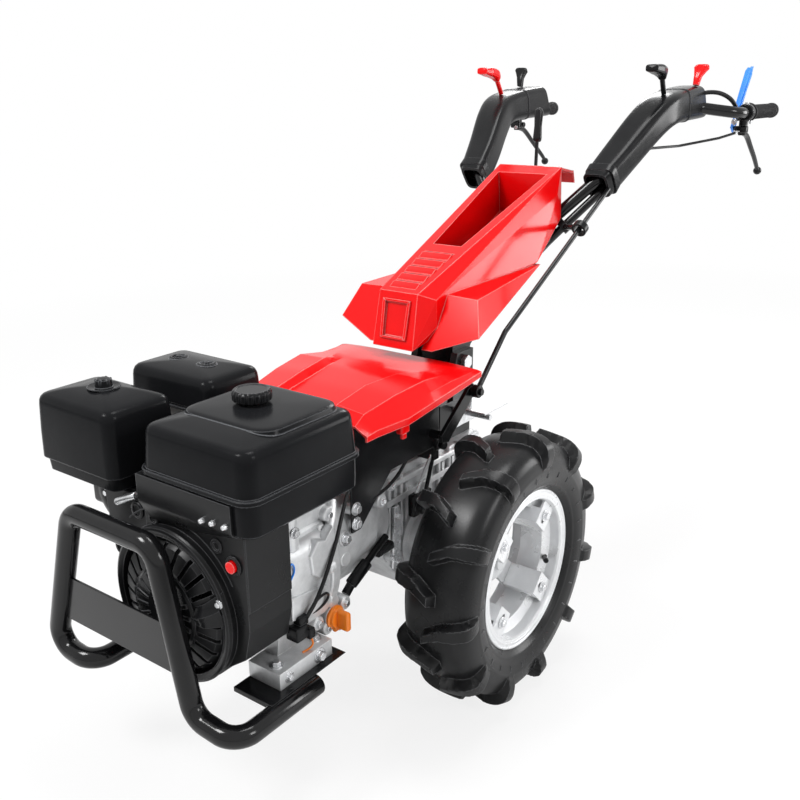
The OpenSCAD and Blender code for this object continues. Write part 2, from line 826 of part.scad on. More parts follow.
// A closed skin over rounded sections
module loft(rows) {
  m = 24;
  n = len(rows);
  function swell(v) = sign(v) * pow(abs(v), 0.45);
  pts = [for (r = rows) for (j = [0:m - 1]) let (a = (j + 0.5) * 360 / m, w = r[1] * swell(cos(a)), d = r[2] * swell(sin(a)))
    r[0] + [w, -d * sin(r[3]), d * cos(r[3])]];
  skin = [for (i = [0:n - 2]) for (j = [0:m - 1]) let (k = (j + 1) % m) for (h = [0, 1])
    h == 0 ? [i * m + j, (i + 1) * m + k, (i + 1) * m + j] : [i * m + j, i * m + k, (i + 1) * m + k]];
  ends = [[for (j = [m - 1:-1:0]) j], [for (j = [0:m - 1]) (n - 1) * m + j]];
  polyhedron(points = pts, faces = concat(skin, ends));
}

module sleeve() {
  difference() {
    loft(sleeve_rows);
    bars_cut();
    bent([rod_top - rod_dir * 60, rod_top + rod_dir * 34], 0, rod_r + 6);
  }
}

module left_sleeve() {
  color("#1b1c1e")
    sleeve();
}

module right_sleeve() {
  color("#1b1c1e")
    mirror([1, 0, 0])
      sleeve();
}

module knob_lever() {
  y = aft(0.55);
  z = sleeve_top(y - 5) + 3.2 + fit;
  rod([205, y, z], [207, y - 23, z + 37], 6);
  hull() {
    translate([208, y - 29, z + 43])
      sphere(r = 15, $fn = 24);
    translate([209, y - 79, z + 53])
      sphere(r = 12.5, $fn = 24);
  }
}

module paddle_lever() {
  y = aft(0.9412);
  z = sleeve_top(y + 12);
  box(222, 234, y - 12, y + 12, z, z + 19);
  hull()
    for (q = [[228, 4, 15], [242, 4, 17], [226, 20, 41], [244, 20, 41]])
      translate([q[0], y + q[1], z + q[2]])
        sphere(r = 8, $fn = 24);
}

module left_black_lever() color("#141415") knob_lever();
module left_red_lever() color("#d3161b") paddle_lever();
module right_red_lever() color("#d3161b") mirror([1, 0, 0]) knob_lever();
module right_black_lever() color("#141415") mirror([1, 0, 0]) paddle_lever();

module grip() {
  y0 = grip_y0;
  difference() {
    union() {
      along_y(grip_x, grip_z, grip_r, y0, y0 + grip_l + 4);
      along_y(grip_x, grip_z, grip_r + 5, y0, y0 + 6);
    }
    along_y(grip_x, grip_z, bar_r + fit, y0 - 1, y0 + grip_l + fit);
  }
}

module left_grip() color("#151516") grip();
module right_grip() color("#151516") mirror([1, 0, 0]) grip();

module hand_lever() {
  y0 = grip_y0;
  difference() {
    union() {
      along_y(grip_x, grip_z, bar_r + 7, y0 - 22, y0 - 4);
      box(grip_x - 12, grip_x + 4, y0 - 22, y0 - 4, grip_z - 50, grip_z - 14);
      along_x(y0 - 13, grip_z - 36, 7, grip_x - 24, grip_x - 10);
      bent([[grip_x - 4, y0 - 10, grip_z - 44], [grip_x - 4, y0 + 60, grip_z - 84],
        [grip_x - 5, y0 + 150, grip_z - 142]], 90, 6);
      translate([grip_x - 5, y0 + 150, grip_z - 142])
        sphere(r = 10);
    }
    along_y(grip_x, grip_z, bar_r + fit, y0 - 60, y0 + 10);
  }
}

module left_hand_lever() color("#18191a") hand_lever();
module right_hand_lever() color("#18191a") mirror([1, 0, 0]) hand_lever();

module lock_lever_blue() {
  y0 = grip_y0;
  color("#1f74d6")
    side_prism([[y0 - 26, grip_z - 34], [y0 - 10, grip_z - 46], [y0 + 84, grip_z + 92], [y0 + 88, grip_z + 104],
      [y0 + 74, grip_z + 100]], grip_x - 30, grip_x - 24);
}

module throttle_lever() {
  y0 = grip_y0;
  color("#18191a")
    mirror([1, 0, 0])
      difference() {
        union() {
          along_y(grip_x, grip_z, bar_r + 6, y0 - 36, y0 - 24);
          box(grip_x - 30, grip_x, y0 - 36, y0 - 24, grip_z + 4, grip_z + 18);
          rod([grip_x - 26, y0 - 30, grip_z + 12], [grip_x - 40, y0 + 4, grip_z + 40], 5);
        }
        along_y(grip_x, grip_z, bar_r + fit, y0 - 60, y0 + 10);
      }
}

// A point under a sleeve's section, at a given gap
function under_sleeve(i, gap) = let (r = sleeve_rows[i]) r[0] + [0, sin(r[3]), -cos(r[3])] * (r[2] + gap);

module clutch_cable() {
  y0 = grip_y0;
  cable_r = 3;
  low = under_sleeve(2, cable_r + 1);
  high = under_sleeve(3, cable_r + 1);
  color("#0f0f10")
    bent([[grip_x - 4, y0 - 24.5, grip_z - 42], [272, handle_y + 40, 950], [215, aft(0.8235), 936], [192, aft(0.5), 936],
      low + (high - low) * 0.43], 20, cable_r);
}

module column_lock_handle() {
  color("#141415")
    union() {
      bent([[-8, 354.2, 676], [-8, 560, 786], [-40, 630, 880], [-42, 636, 950]], 14, 4);
      rod([-42, 636, 949], [-44, 644, 1022], 10);
    }
}

// The shift arm, the selector rod and its guide

module shift_arm() {
  color("#1c1d1f")
    union() {
      along_x(-6, 470, 9, 108, 136);
      side_prism([[-18, 462], [2, 458], [rod_eye[1] + 12, rod_eye[2] - 6], [rod_eye[1] + 4, rod_eye[2] + 12],
        [rod_eye[1] - 12, rod_eye[2] + 6], [-20, 476]], 134, 142);
      along_x(rod_eye[1], rod_eye[2], 6, 141, rod_eye[0] + 12);
    }
}

rod_eye = [152, 80, 536];
rod_bend = [155, 172, 630];
rod_top = [176, 549, 860];
rod_dir = unit(rod_top - rod_bend);

module selector_rod() {
  color("#26272a")
    difference() {
      union() {
        bent([rod_eye, rod_bend, rod_top + rod_dir * 12], 30, rod_r);
        along_x(rod_eye[1], rod_eye[2], 12, rod_eye[0] - 7, rod_eye[0] + 7);
      }
      along_x(rod_eye[1], rod_eye[2], 6 + fit, rod_eye[0] - 10, rod_eye[0] + 10);
    }
}

module rod_guide() {
  at = rod_bend + (rod_top - rod_bend) * 0.71;
  hold = brace_pts[1] + (brace_pts[2] - brace_pts[1]) * 0.3;
  bd = unit(brace_pts[2] - brace_pts[1]);
  color("#18191a")
    difference() {
      union() {
        rod(at - rod_dir * 7, at + rod_dir * 7, rod_r + 11);
        rod(hold - bd * 8, hold + bd * 8, brace_r + 6);
        rod(hold, at, 6.5);
      }
      rod(at - rod_dir * 40, at + rod_dir * 40, rod_r + 6);
      rod(hold - bd * 30, hold + bd * 30, brace_r + fit);
    }
}

// Console

console_pts = [[43, 44, 711], [46, 23, 608], [66, 72, 698], [68, 70, 647], [76, 531, 905], [88, 495, 850], [92, 507, 800],
  [96, 402, 722], [70, 110, 640]];
wing_pts = [[40, 104, 704], [135, 104, 701], [160, 70, 639], [72, 48, 606], [20, 48, 606], [103, 402, 718]];
pocket_top = [[33, 204, 775], [60, 496, 891]];
pocket_low = [[30, 212, 775 - pocket_d], [56, 500, 891 - pocket_d]];

module console_inner() {
  t = cover_t;
  both_hull([[43 - t, 44 + t, 711 - 1.6 * t], [46 - t, 23 + t, 590], [66 - 1.5 * t, 72 + t, 698 - t], [76 - t, 551, 913 - 1.3 * t],
    [88 - t, 515, 850], [92 - t, 527, 790], [96 - t, 422, 700], [66 - t, 115, 590]]);
  both_hull([[40, 104 + 1.6 * t, 704 - 1.8 * t], [135 - t, 104 + 1.6 * t, 701 - 1.8 * t], [160 - 2 * t, 70 + 1.6 * t, 620],
    [72, 48 + 1.6 * t, 590], [20, 48 + 1.6 * t, 590], [103 - t, 422, 700], [100, 402, 690]]);
}

// Height of the pocket tray's underside
function tray_z(y) = let (a = pocket_low[0], b = pocket_low[1])
  a[2] - cover_t + (y - a[1] + cover_t) * (b[2] - a[2]) / (b[1] - a[1] + 2 * cover_t);

module pocket(grow) {
  both_hull([for (q = pocket_top) [q[0] + grow, q[1] + (q[1] > 300 ? grow : -grow), q[2] + (grow > 0 ? -2 : 20)],
    for (q = pocket_low) [q[0] + grow, q[1] + (q[1] > 300 ? grow : -grow), q[2] - grow]]);
}

module console() {
  k = (905 - 711) / (531 - 44);
  color("#e01319")
    difference() {
      union() {
        difference() {
          union() {
            both_hull(console_pts);
            both_hull(wing_pts);
          }
          console_inner();
        }
        pocket(cover_t);
        both_hull([[76, 528, 904], [76, 528, 899], [78, 585, 893], [78, 585, 888]]);
        both_hull([[78, 581, 894], [78, 585, 894], [74, 602, 866], [74, 598, 866]]);
      }
      pocket(0);
      for (i = [0:louvres - 1])
        translate([0, 74 + i * 25, 711 + k * (74 + i * 25 - 44)])
          rotate([atan(k), 0, 0])
            translate([-30 - i, 0, -1.5])
              cube([60 + 2 * i, 5, 5]);
      both_hull([[24, 30, 690], [24, 42, 690], [22, 10, 630], [22, 29, 630]]);
    }
}

placed() gearbox_case();
placed() bell_housing();
placed() hitch_flange();
placed() gear_filler_cap();
placed() brake_linkage();
placed() engine_block();
placed() engine_cylinder();
placed() fan_housing();
placed() recoil_starter();
placed() stop_button();
placed() fuel_tank();
placed() fuel_cap();
placed() air_filter();
placed() carburettor();
placed() muffler();
placed() muffler_cover();
placed() oil_filler_cap();
placed() engine_wiring();
placed() engine_cradle();
placed() front_guard();
placed() guard_plate();
placed() hood();
placed() hood_support();
placed() column_bracket();
placed() tilt_bolt();
placed() hitch_plate();
placed() tilt_head();
placed() console();
placed() left_bar();
placed() right_bar();
placed() left_sleeve();
placed() right_sleeve();
placed() left_black_lever();
placed() left_red_lever();
placed() right_red_lever();
placed() right_black_lever();
placed() left_grip();
placed() right_grip();
placed() left_hand_lever();
placed() right_hand_lever();
placed() lock_lever_blue();
placed() throttle_lever();
placed() clutch_cable();
placed() column_lock_handle();
placed() rod_guide();
placed() shift_arm();
placed() selector_rod();
placed() left_tyre();
placed() left_rim();
placed() left_hub();
placed() right_tyre();
placed() right_rim();
placed() right_hub();
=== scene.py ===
import json
import math
import bmesh
import bpy
import numpy as np
from mathutils import Matrix


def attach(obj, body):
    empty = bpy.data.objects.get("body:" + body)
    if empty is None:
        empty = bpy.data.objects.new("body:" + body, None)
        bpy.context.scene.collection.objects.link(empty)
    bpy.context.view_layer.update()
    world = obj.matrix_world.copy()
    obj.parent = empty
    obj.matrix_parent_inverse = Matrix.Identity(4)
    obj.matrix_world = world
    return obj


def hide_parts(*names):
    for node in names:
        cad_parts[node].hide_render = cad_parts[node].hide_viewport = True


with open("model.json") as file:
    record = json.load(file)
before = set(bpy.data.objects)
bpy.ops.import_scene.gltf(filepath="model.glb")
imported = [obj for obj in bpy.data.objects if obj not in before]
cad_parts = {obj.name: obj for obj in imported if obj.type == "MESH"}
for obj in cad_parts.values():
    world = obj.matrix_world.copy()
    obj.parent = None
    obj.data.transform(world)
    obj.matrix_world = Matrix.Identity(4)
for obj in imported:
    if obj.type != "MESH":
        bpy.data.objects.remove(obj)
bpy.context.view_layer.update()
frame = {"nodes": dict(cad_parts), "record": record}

nodes = frame["nodes"]
scene = bpy.context.scene
scene.view_settings.view_transform = "Standard"
machineOrigin = np.array([0.0, 1122.0, 1006.0])  # grip midpoint, mm from the axle's line on the floor
leftward, rearward, upward = (1.0, 0.0, 0.0), (0.0, 1.0, 0.0), (0.0, 0.0, 1.0)
rightward, forward = (-1.0, 0.0, 0.0), (0.0, -1.0, 0.0)
bothSides = (("left", 1.0), ("right", -1.0))
print("frame loaded:", len(nodes), "CAD nodes")


def row(points):
    # machine millimetres to row metres: subtract the grip midpoint, divide by a thousand
    return (np.asarray(points, float) - machineOrigin) / 1000.0


def unit(v):
    v = np.asarray(v, float)
    return v / np.linalg.norm(v, axis=-1, keepdims=True)


def mirrored(points, sign):
    # points given on the machine's left, put on its right where the sign is negative
    return np.asarray(points, float) * (sign, 1.0, 1.0)


# camera and lamps
cameraFit = {"place": (994.2, -1296.3, 1071.9), "azimuth": 36.53, "pitch": 18.95, "roll": -0.43,
             "lens": 41.207, "sensor": 36.0, "clip": (0.05, 60.0)}
lamps = [
    {"name": "keyLamp", "at": (-1.2, -3.4, 2.6), "aim": (0.0, -1.0, -0.5), "size": 1.2, "watts": 120.0},
    {"name": "fillLamp", "at": (3.4, -1.0, 1.2), "aim": (0.0, -1.0, -0.5), "size": 1.0, "watts": 40.0},
    {"name": "sheenLamp", "at": (2.3, 1.7, 0.1), "aim": (0.1, -0.8, -0.4), "size": 1.3, "watts": 48.0},
    {"name": "topLamp", "at": (0.2, -0.4, 3.2), "aim": (0.0, -0.9, -0.5), "size": 1.4, "watts": 66.0},
    {"name": "backLamp", "at": (-1.6, 2.6, 1.8), "aim": (0.0, -0.9, -0.4), "size": 1.0, "watts": 34.0},
]


def place(obj, at, axes):
    # puts a camera or lamp at a point in row metres, its x, y and z along the given axes
    turn = Matrix([list(line) for line in np.stack(axes, axis=1)]).to_4x4()
    obj.matrix_world = Matrix.Translation([float(v) for v in at]) @ turn
    scene.collection.objects.link(obj)


def makeCamera(fit):
    # a level view turned by the azimuth, tipped down by the pitch and rolled about its own line
    a, e, r = (math.radians(fit[k]) for k in ("azimuth", "pitch", "roll"))
    right = np.array([math.cos(a), math.sin(a), 0.0])
    ahead = np.array([-math.sin(a) * math.cos(e), math.cos(a) * math.cos(e), -math.sin(e)])
    up = np.cross(right, ahead)
    data = bpy.data.cameras.new("photoCamera")
    data.sensor_fit = "HORIZONTAL"
    data.sensor_width = fit["sensor"]
    data.lens = fit["lens"]
    data.clip_start, data.clip_end = fit["clip"]
    camera = bpy.data.objects.new("photoCamera", data)
    axes = [right * math.cos(r) + up * math.sin(r), up * math.cos(r) - right * math.sin(r), -ahead]
    place(camera, row(fit["place"]), axes)
    scene.camera = camera


def makeLamp(lamp):
    data = bpy.data.lights.new(lamp["name"], "AREA")
    data.size = lamp["size"]
    data.energy = lamp["watts"]
    back = unit(np.array(lamp["at"]) - np.array(lamp["aim"]))
    side = unit(np.cross(upward, back))
    place(bpy.data.objects.new(lamp["name"], data), lamp["at"], [side, np.cross(back, side), back])


makeCamera(cameraFit)
for lamp in lamps:
    makeLamp(lamp)


# shader helpers: values are sockets unless a comment says otherwise
def link(tree, a, b):
    tree.links.new(a, b)


def paintNode(tree, kind, **values):
    # a node with fixed values on its sockets
    node = tree.nodes.new(kind)
    for key, value in values.items():
        node.inputs[key].default_value = value
    return node


def combine(tree, operation, *values, kind="ShaderNodeMath"):
    # a math node of the given operation
    node = tree.nodes.new(kind)
    node.operation = operation
    for socket, value in zip(node.inputs, values):
        link(tree, value, socket)
    return node.outputs["Value"]


def stretch(tree, value, source, target=(0.0, 1.0)):
    # linear map of a value from one range of numbers to another, clamped
    limits = zip(("From Min", "From Max", "To Min", "To Max"), source + target)
    node = paintNode(tree, "ShaderNodeMapRange", **dict(limits))
    link(tree, value, node.inputs["Value"])
    return node.outputs[0]


def mixColour(tree, factor, a, b):
    # blends colour a into colour b by a factor; a and b are sockets or fixed colours
    node = tree.nodes.new("ShaderNodeMix")
    node.data_type = "RGBA"
    link(tree, factor, node.inputs[0])
    for socket, value in ((node.inputs[6], a), (node.inputs[7], b)):
        if isinstance(value, tuple):
            socket.default_value = value + (1.0,)
        else:
            link(tree, value, socket)
    return node.outputs[2]


# white surroundings and floor
studio = {"ambient": 0.36, "white": 1.0, "paper": (1.0, 1.0, 1.0, 1.0), "floorSize": 30.0,
          "floorColour": (0.9, 0.9, 0.9, 1.0), "whiteShare": 0.8, "fade": (1.4, 3.6)}


def makeWorld(settings):
    # full white where a camera, glossy or transmission ray looks, and a dimmer ambient light for the rest
    scene.world = bpy.data.worlds.new("studioWorld")
    scene.world.use_nodes = True
    tree = scene.world.node_tree
    background = tree.nodes["Background"]
    background.inputs["Color"].default_value = settings["paper"]
    path = tree.nodes.new("ShaderNodeLightPath")
    seen = combine(tree, "MAXIMUM", path.outputs["Is Camera Ray"], path.outputs["Is Glossy Ray"])
    seen = combine(tree, "MAXIMUM", seen, path.outputs["Is Transmission Ray"])
    strength = stretch(tree, seen, (0.0, 1.0), (settings["ambient"], settings["white"]))
    link(tree, strength, background.inputs["Strength"])


def makeFloor(settings):
    # matte near the machine, with a share of white glow to the eye that rises to one with the distance
    half, level = settings["floorSize"] / 2, float(row((0, 0, 0))[2])
    mesh = bpy.data.meshes.new("studioFloor")
    corners = [(x * half, y * half, level) for x, y in ((-1, -1), (1, -1), (1, 1), (-1, 1))]
    mesh.from_pydata(corners, [], [(0, 1, 2, 3)])
    floor = bpy.data.objects.new("studioFloor", mesh)
    scene.collection.objects.link(floor)
    paint = bpy.data.materials.new("studioFloorPaint")
    paint.use_nodes = True
    tree = paint.node_tree
    tree.nodes.clear()
    matte = paintNode(tree, "ShaderNodeBsdfDiffuse", Color=settings["floorColour"])
    glow = paintNode(tree, "ShaderNodeEmission", Color=settings["paper"])
    spot = tree.nodes.new("ShaderNodeTexCoord").outputs["Object"]
    far = combine(tree, "LENGTH", spot, kind="ShaderNodeVectorMath")
    fade = stretch(tree, far, settings["fade"], (settings["whiteShare"], 1.0))
    seen = tree.nodes.new("ShaderNodeLightPath").outputs["Is Camera Ray"]
    share = combine(tree, "MULTIPLY", seen, fade)
    mix = tree.nodes.new("ShaderNodeMixShader")
    for socket, value in zip(mix.inputs, (share, matte.outputs[0], glow.outputs[0])):
        link(tree, value, socket)
    link(tree, mix.outputs[0], tree.nodes.new("ShaderNodeOutputMaterial").inputs["Surface"])
    mesh.materials.append(paint)


makeWorld(studio)
makeFloor(studio)
print("camera, lamps and floor are up")

# finishes: what all share, then one dictionary each; all patterns are on Object coordinates in metres
commonFinish = {
    "metallic": 0.0, "shine": 0.5, "edgeWearAndHighlightRange": (0.25, 0.9), "reach": 0.03, "grimeAndShadeColour": (0.05, 0.048, 0.045),
    "blotchDetail": 5.0, "blotchRough": 0.6, "grainDetail": 3.0, "grainRough": 0.65, "blotchSpread": (0.36, 0.64),
    "roughSpread": (0.3, 0.7), "grainSpread": (0.3, 0.62), "edgeTurn": (0.995, 0.86), "shelter": (0.75, 0.15),
    "bumpHeight": 0.0006, "samples": 4}
# each finish's edge colour lightens its edges: worn edges on the metals, a painted highlight along the edges of the
# plastics, black paints and tyre; its grime colour darkens hollows as painted shade
finishes = {
    "cast_aluminium": {
        "colour": (0.78, 0.79, 0.8), "second": (0.6, 0.61, 0.62), "blotch": 28.0, "metallic": 0.45,
        "rough": (0.3, 0.46), "grain": 900.0, "bump": 0.2, "edgeWearAndHighlight": (0.92, 0.92, 0.93), "edgeWidth": 0.0022,
        "grimeAndShade": 0.4},
    "cast_iron": {
        "colour": (0.16, 0.165, 0.17), "second": (0.09, 0.092, 0.095), "blotch": 24.0, "metallic": 0.6,
        "rough": (0.45, 0.62), "grain": 700.0, "bump": 0.3, "edgeWearAndHighlight": (0.32, 0.32, 0.33), "edgeWidth": 0.002,
        "grimeAndShade": 0.5},
    # black finishes below: their lighter edge colours are painted highlights along the edges
    "black_plastic": {
        "colour": (0.0085, 0.0087, 0.0095), "second": (0.0098, 0.01, 0.0108), "blotch": 30.0, "rough": (0.2, 0.25),
        "grain": 1500.0, "bump": 0.045, "edgeWearAndHighlight": (0.09, 0.092, 0.097), "edgeWidth": 0.0018, "shine": 0.14,
        "edgeWearAndHighlightRange": (0.8, 0.9)},
    "black_steel": {
        "colour": (0.006, 0.0062, 0.007), "second": (0.0082, 0.0084, 0.0092), "blotch": 22.0, "rough": (0.17, 0.26),
        "grain": 620.0, "bump": 0.035, "edgeWearAndHighlight": (0.08, 0.081, 0.085), "edgeWidth": 0.002, "shine": 0.24,
        "edgeWearAndHighlightRange": (0.5, 0.9)},
    "gloss_black_steel": {
        "colour": (0.004, 0.004, 0.0045), "second": (0.007, 0.007, 0.0076), "blotch": 16.0, "rough": (0.1, 0.18),
        "grain": 420.0, "bump": 0.03, "edgeWearAndHighlight": (0.03, 0.03, 0.032), "edgeWidth": 0.0015, "shine": 0.3,
        "edgeWearAndHighlightRange": (0.8, 0.9)},
    "engine_black": {
        "colour": (0.0078, 0.008, 0.0086), "second": (0.0096, 0.0098, 0.0105), "blotch": 24.0, "rough": (0.26, 0.34),
        "grain": 800.0, "bump": 0.04, "edgeWearAndHighlight": (0.12, 0.122, 0.128), "edgeWidth": 0.002, "shine": 0.16,
        "edgeWearAndHighlightRange": (0.75, 0.9)},
    # tank black: the light grey edge colour is a painted highlight along the edges
    "tank_black": {
        "colour": (0.0085, 0.0088, 0.0098), "second": (0.0098, 0.0101, 0.0112), "blotch": 18.0, "rough": (0.17, 0.21),
        "grain": 1100.0, "bump": 0.03, "edgeWearAndHighlight": (0.16, 0.165, 0.175), "edgeWidth": 0.0025, "shine": 0.055,
        "edgeWearAndHighlightRange": (0.85, 0.95)},
    # red plastic: the pink-white edge colour is a painted highlight along its creases and edges, and the deep red grime
    # colour with its long reach is painted shade in the pocket and recesses
    "red_plastic": {
        "colour": (0.88, 0.003, 0.004), "second": (0.84, 0.0028, 0.0038), "blotch": 9.0, "rough": (0.16, 0.2),
        "grain": 520.0, "bump": 0.012, "edgeWearAndHighlight": (1.0, 0.46, 0.44), "edgeWidth": 0.0024, "shine": 0.22,
        "edgeWearAndHighlightRange": (0.85, 0.95), "grimeAndShade": 0.85, "grimeAndShadeColour": (0.24, 0.0, 0.0), "reach": 0.14},
    "dark_steel": {
        "colour": (0.22, 0.215, 0.21), "second": (0.12, 0.105, 0.095), "blotch": 30.0, "metallic": 0.9,
        "rough": (0.36, 0.55), "grain": 500.0, "bump": 0.1, "edgeWearAndHighlight": (0.4, 0.4, 0.4), "edgeWidth": 0.002},
    "orange_plastic": {
        "colour": (0.95, 0.24, 0.008), "second": (0.86, 0.2, 0.006), "blotch": 40.0, "rough": (0.28, 0.4),
        "grain": 900.0, "bump": 0.05, "edgeWearAndHighlight": (1.0, 0.42, 0.08), "edgeWidth": 0.0015},
    "blue_plastic": {
        "colour": (0.012, 0.24, 0.86), "second": (0.01, 0.2, 0.74), "blotch": 40.0, "rough": (0.26, 0.38),
        "grain": 900.0, "bump": 0.05, "edgeWearAndHighlight": (0.1, 0.42, 0.95), "edgeWidth": 0.0015},
    "zinc_steel": {
        "colour": (0.72, 0.73, 0.75), "second": (0.6, 0.61, 0.62), "blotch": 50.0, "metallic": 0.85,
        "rough": (0.2, 0.34), "grain": 700.0, "bump": 0.05, "edgeWearAndHighlight": (0.9, 0.9, 0.91), "edgeWidth": 0.0012},
    "grip_rubber": {
        "colour": (0.012, 0.012, 0.013), "second": (0.018, 0.018, 0.019), "blotch": 60.0, "rough": (0.5, 0.66),
        "grain": 1300.0, "bump": 0.25, "edgeWearAndHighlight": (0.05, 0.05, 0.05), "edgeWidth": 0.0012, "shine": 0.2},
    "cable_black": {
        "colour": (0.007, 0.007, 0.0075), "second": (0.011, 0.011, 0.012), "blotch": 50.0, "rough": (0.32, 0.46),
        "grain": 1600.0, "bump": 0.06, "edgeWearAndHighlight": (0.03, 0.03, 0.03), "edgeWidth": 0.0008, "shine": 0.2},
    # tyre: the grey edge colour paints light highlight lines along the lug edges
    "tyre": {
        "colour": (0.0078, 0.008, 0.0086), "second": (0.0105, 0.0107, 0.0113), "blotch": 14.0, "rough": (0.24, 0.34),
        "grain": 620.0, "bump": 0.09, "edgeWearAndHighlight": (0.2, 0.203, 0.21), "edgeWidth": 0.002, "shine": 0.2, "edgeWearAndHighlightRange": (0.6, 0.9)},
    "rim_silver": {
        "colour": (0.80, 0.81, 0.82), "second": (0.72, 0.73, 0.745), "blotch": 20.0, "metallic": 0.3,
        "rough": (0.24, 0.36), "grain": 2400.0, "bump": 0.04, "edgeWearAndHighlight": (0.95, 0.95, 0.96), "edgeWidth": 0.002,
        "grimeAndShade": 0.2},
    "hub_steel": {
        "colour": (0.7, 0.71, 0.72), "second": (0.58, 0.59, 0.6), "blotch": 22.0, "metallic": 0.4,
        "rough": (0.32, 0.46), "grain": 1100.0, "bump": 0.1, "edgeWearAndHighlight": (0.8, 0.8, 0.81), "edgeWidth": 0.002,
        "grimeAndShade": 0.4},
}


def makeFinish(name, own):
    # two colours in soft blotches, lighter edges from a bevelled normal (worn edges on the metals, a painted highlight
    # along the edges of the plastics, black paints and tyre), grime and painted shade in hollows from occlusion, fine
    # grain as bump
    look = {**commonFinish, **own}
    material = bpy.data.materials.new(name)
    material.use_nodes = True
    tree = material.node_tree
    shader = tree.nodes["Principled BSDF"]
    shader.inputs["Metallic"].default_value = look["metallic"]
    shader.inputs["Specular IOR Level"].default_value = look["shine"]
    spot = tree.nodes.new("ShaderNodeTexCoord").outputs["Object"]
    noises = []
    for kind in ("blotch", "grain"):
        noise = paintNode(tree, "ShaderNodeTexNoise", Scale=look[kind], Detail=look[kind + "Detail"],
                          Roughness=look[kind + "Rough"])
        link(tree, spot, noise.inputs["Vector"])
        noises.append(noise.outputs[0])
    blotch, grain = noises
    colour = mixColour(tree, stretch(tree, blotch, look["blotchSpread"]), look["colour"], look["second"])
    rounded = paintNode(tree, "ShaderNodeBevel", Radius=look["edgeWidth"])
    rounded.samples = look["samples"]
    flat = tree.nodes.new("ShaderNodeNewGeometry").outputs["Normal"]
    facing = combine(tree, "DOT_PRODUCT", rounded.outputs[0], flat, kind="ShaderNodeVectorMath")
    # painted highlight and wear: the edge colour lightens the bevelled edges, as wear on the metals and as a painted
    # highlight line on the plastics, black paints and tyre
    edgeWearAndHighlightMask = combine(tree, "MULTIPLY", stretch(tree, facing, look["edgeTurn"]),
                   stretch(tree, grain, look["grainSpread"], look["edgeWearAndHighlightRange"]))
    colour = mixColour(tree, edgeWearAndHighlightMask, colour, look["edgeWearAndHighlight"])
    # painted shade: occlusion darkens hollows and the gaps between parts towards the grime colour; on the metals the
    # dark grey also stands for grime in their hollows
    if "grimeAndShade" in look:
        shade = paintNode(tree, "ShaderNodeAmbientOcclusion", Distance=look["reach"])
        shade.samples = look["samples"]
        grimeAndShadeMask = stretch(tree, shade.outputs["AO"], look["shelter"], (0.0, look["grimeAndShade"]))
        colour = mixColour(tree, grimeAndShadeMask, colour, look["grimeAndShadeColour"])
    link(tree, colour, shader.inputs["Base Color"])
    link(tree, stretch(tree, blotch, look["roughSpread"], look["rough"]), shader.inputs["Roughness"])
    relief = paintNode(tree, "ShaderNodeBump", Strength=look["bump"], Distance=look["bumpHeight"])
    link(tree, grain, relief.inputs["Height"])
    link(tree, rounded.outputs[0], relief.inputs["Normal"])
    link(tree, relief.outputs[0], shader.inputs["Normal"])
    return material


paints = {name: makeFinish(name, own) for name, own in finishes.items()}
for part in frame["record"]["subparts"]:
    mesh = nodes[part["node"]].data
    mesh.materials.clear()
    mesh.materials.append(paints[part["material_slot"]])
print("finishes:", len(paints))


# surfaces: every shape below is worked out in machine millimetres and put into the row frame at the end
def gridQuads(rows, cols, wrapRows=False, flip=False):
    # quads between neighbouring points of a rows x cols grid whose columns close into rings, the rows if asked
    i, j = np.meshgrid(np.arange(rows if wrapRows else rows - 1), np.arange(cols), indexing="ij")
    below, beside = (i + 1) % rows, (j + 1) % cols
    quads = np.stack([i * cols + j, below * cols + j, below * cols + beside, i * cols + beside], -1).reshape(-1, 4)
    return quads[:, ::-1] if flip else quads


def capFan(ring, centre, flip=False):
    # triangles from a ring of point numbers to one centre point
    fan = np.stack([ring, np.roll(ring, -1), np.full(len(ring), centre)], -1)
    return fan[:, ::-1] if flip else fan


def addPiece(name, shapes, slotName, body, replaced=(), sharp=34.0):
    # joins shapes, each points and face arrays, into one mesh that rides on a body
    points, faces, start = [], [], 0
    for shape in shapes:
        points.append(np.asarray(shape[0], float).reshape(-1, 3))
        for block in shape[1:]:
            faces += (np.asarray(block) + start).tolist()
        start += len(points[-1])
    mesh = bpy.data.meshes.new(name)
    mesh.from_pydata(row(np.concatenate(points)).tolist(), [], faces)
    mesh.validate()
    outward = bmesh.new()
    outward.from_mesh(mesh)
    bmesh.ops.recalc_face_normals(outward, faces=outward.faces)
    outward.to_mesh(mesh)
    outward.free()
    mesh.shade_smooth()
    mesh.set_sharp_from_angle(angle=math.radians(sharp))
    mesh.materials.append(paints[slotName])
    piece = bpy.data.objects.new(name, mesh)
    scene.collection.objects.link(piece)
    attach(piece, body)
    if replaced:
        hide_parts(*replaced)
    return piece


def turns(count, offset=0.0):
    # evenly spaced angles of a full turn
    return (np.arange(count) + offset) * 2 * np.pi / count


def acrossOf(axis):
    # a unit vector square to an axis, from the world axis that leans on it least
    return unit(np.cross(axis, np.eye(3)[np.argmin(np.abs(axis))]))


def spokes(axis, angles):
    # unit vectors round an axis: cos t side + sin t (axis x side)
    side = acrossOf(axis)
    return np.cos(angles)[:, None] * side + np.sin(angles)[:, None] * np.cross(axis, side)


def squaredTurn(count, power):
    # cosine and sine of a full turn, each raised to a power below one, so that a circle gains corners
    angles = turns(count, 0.5)
    return [np.sign(wave) * np.abs(wave) ** power for wave in (np.cos(angles), np.sin(angles))]


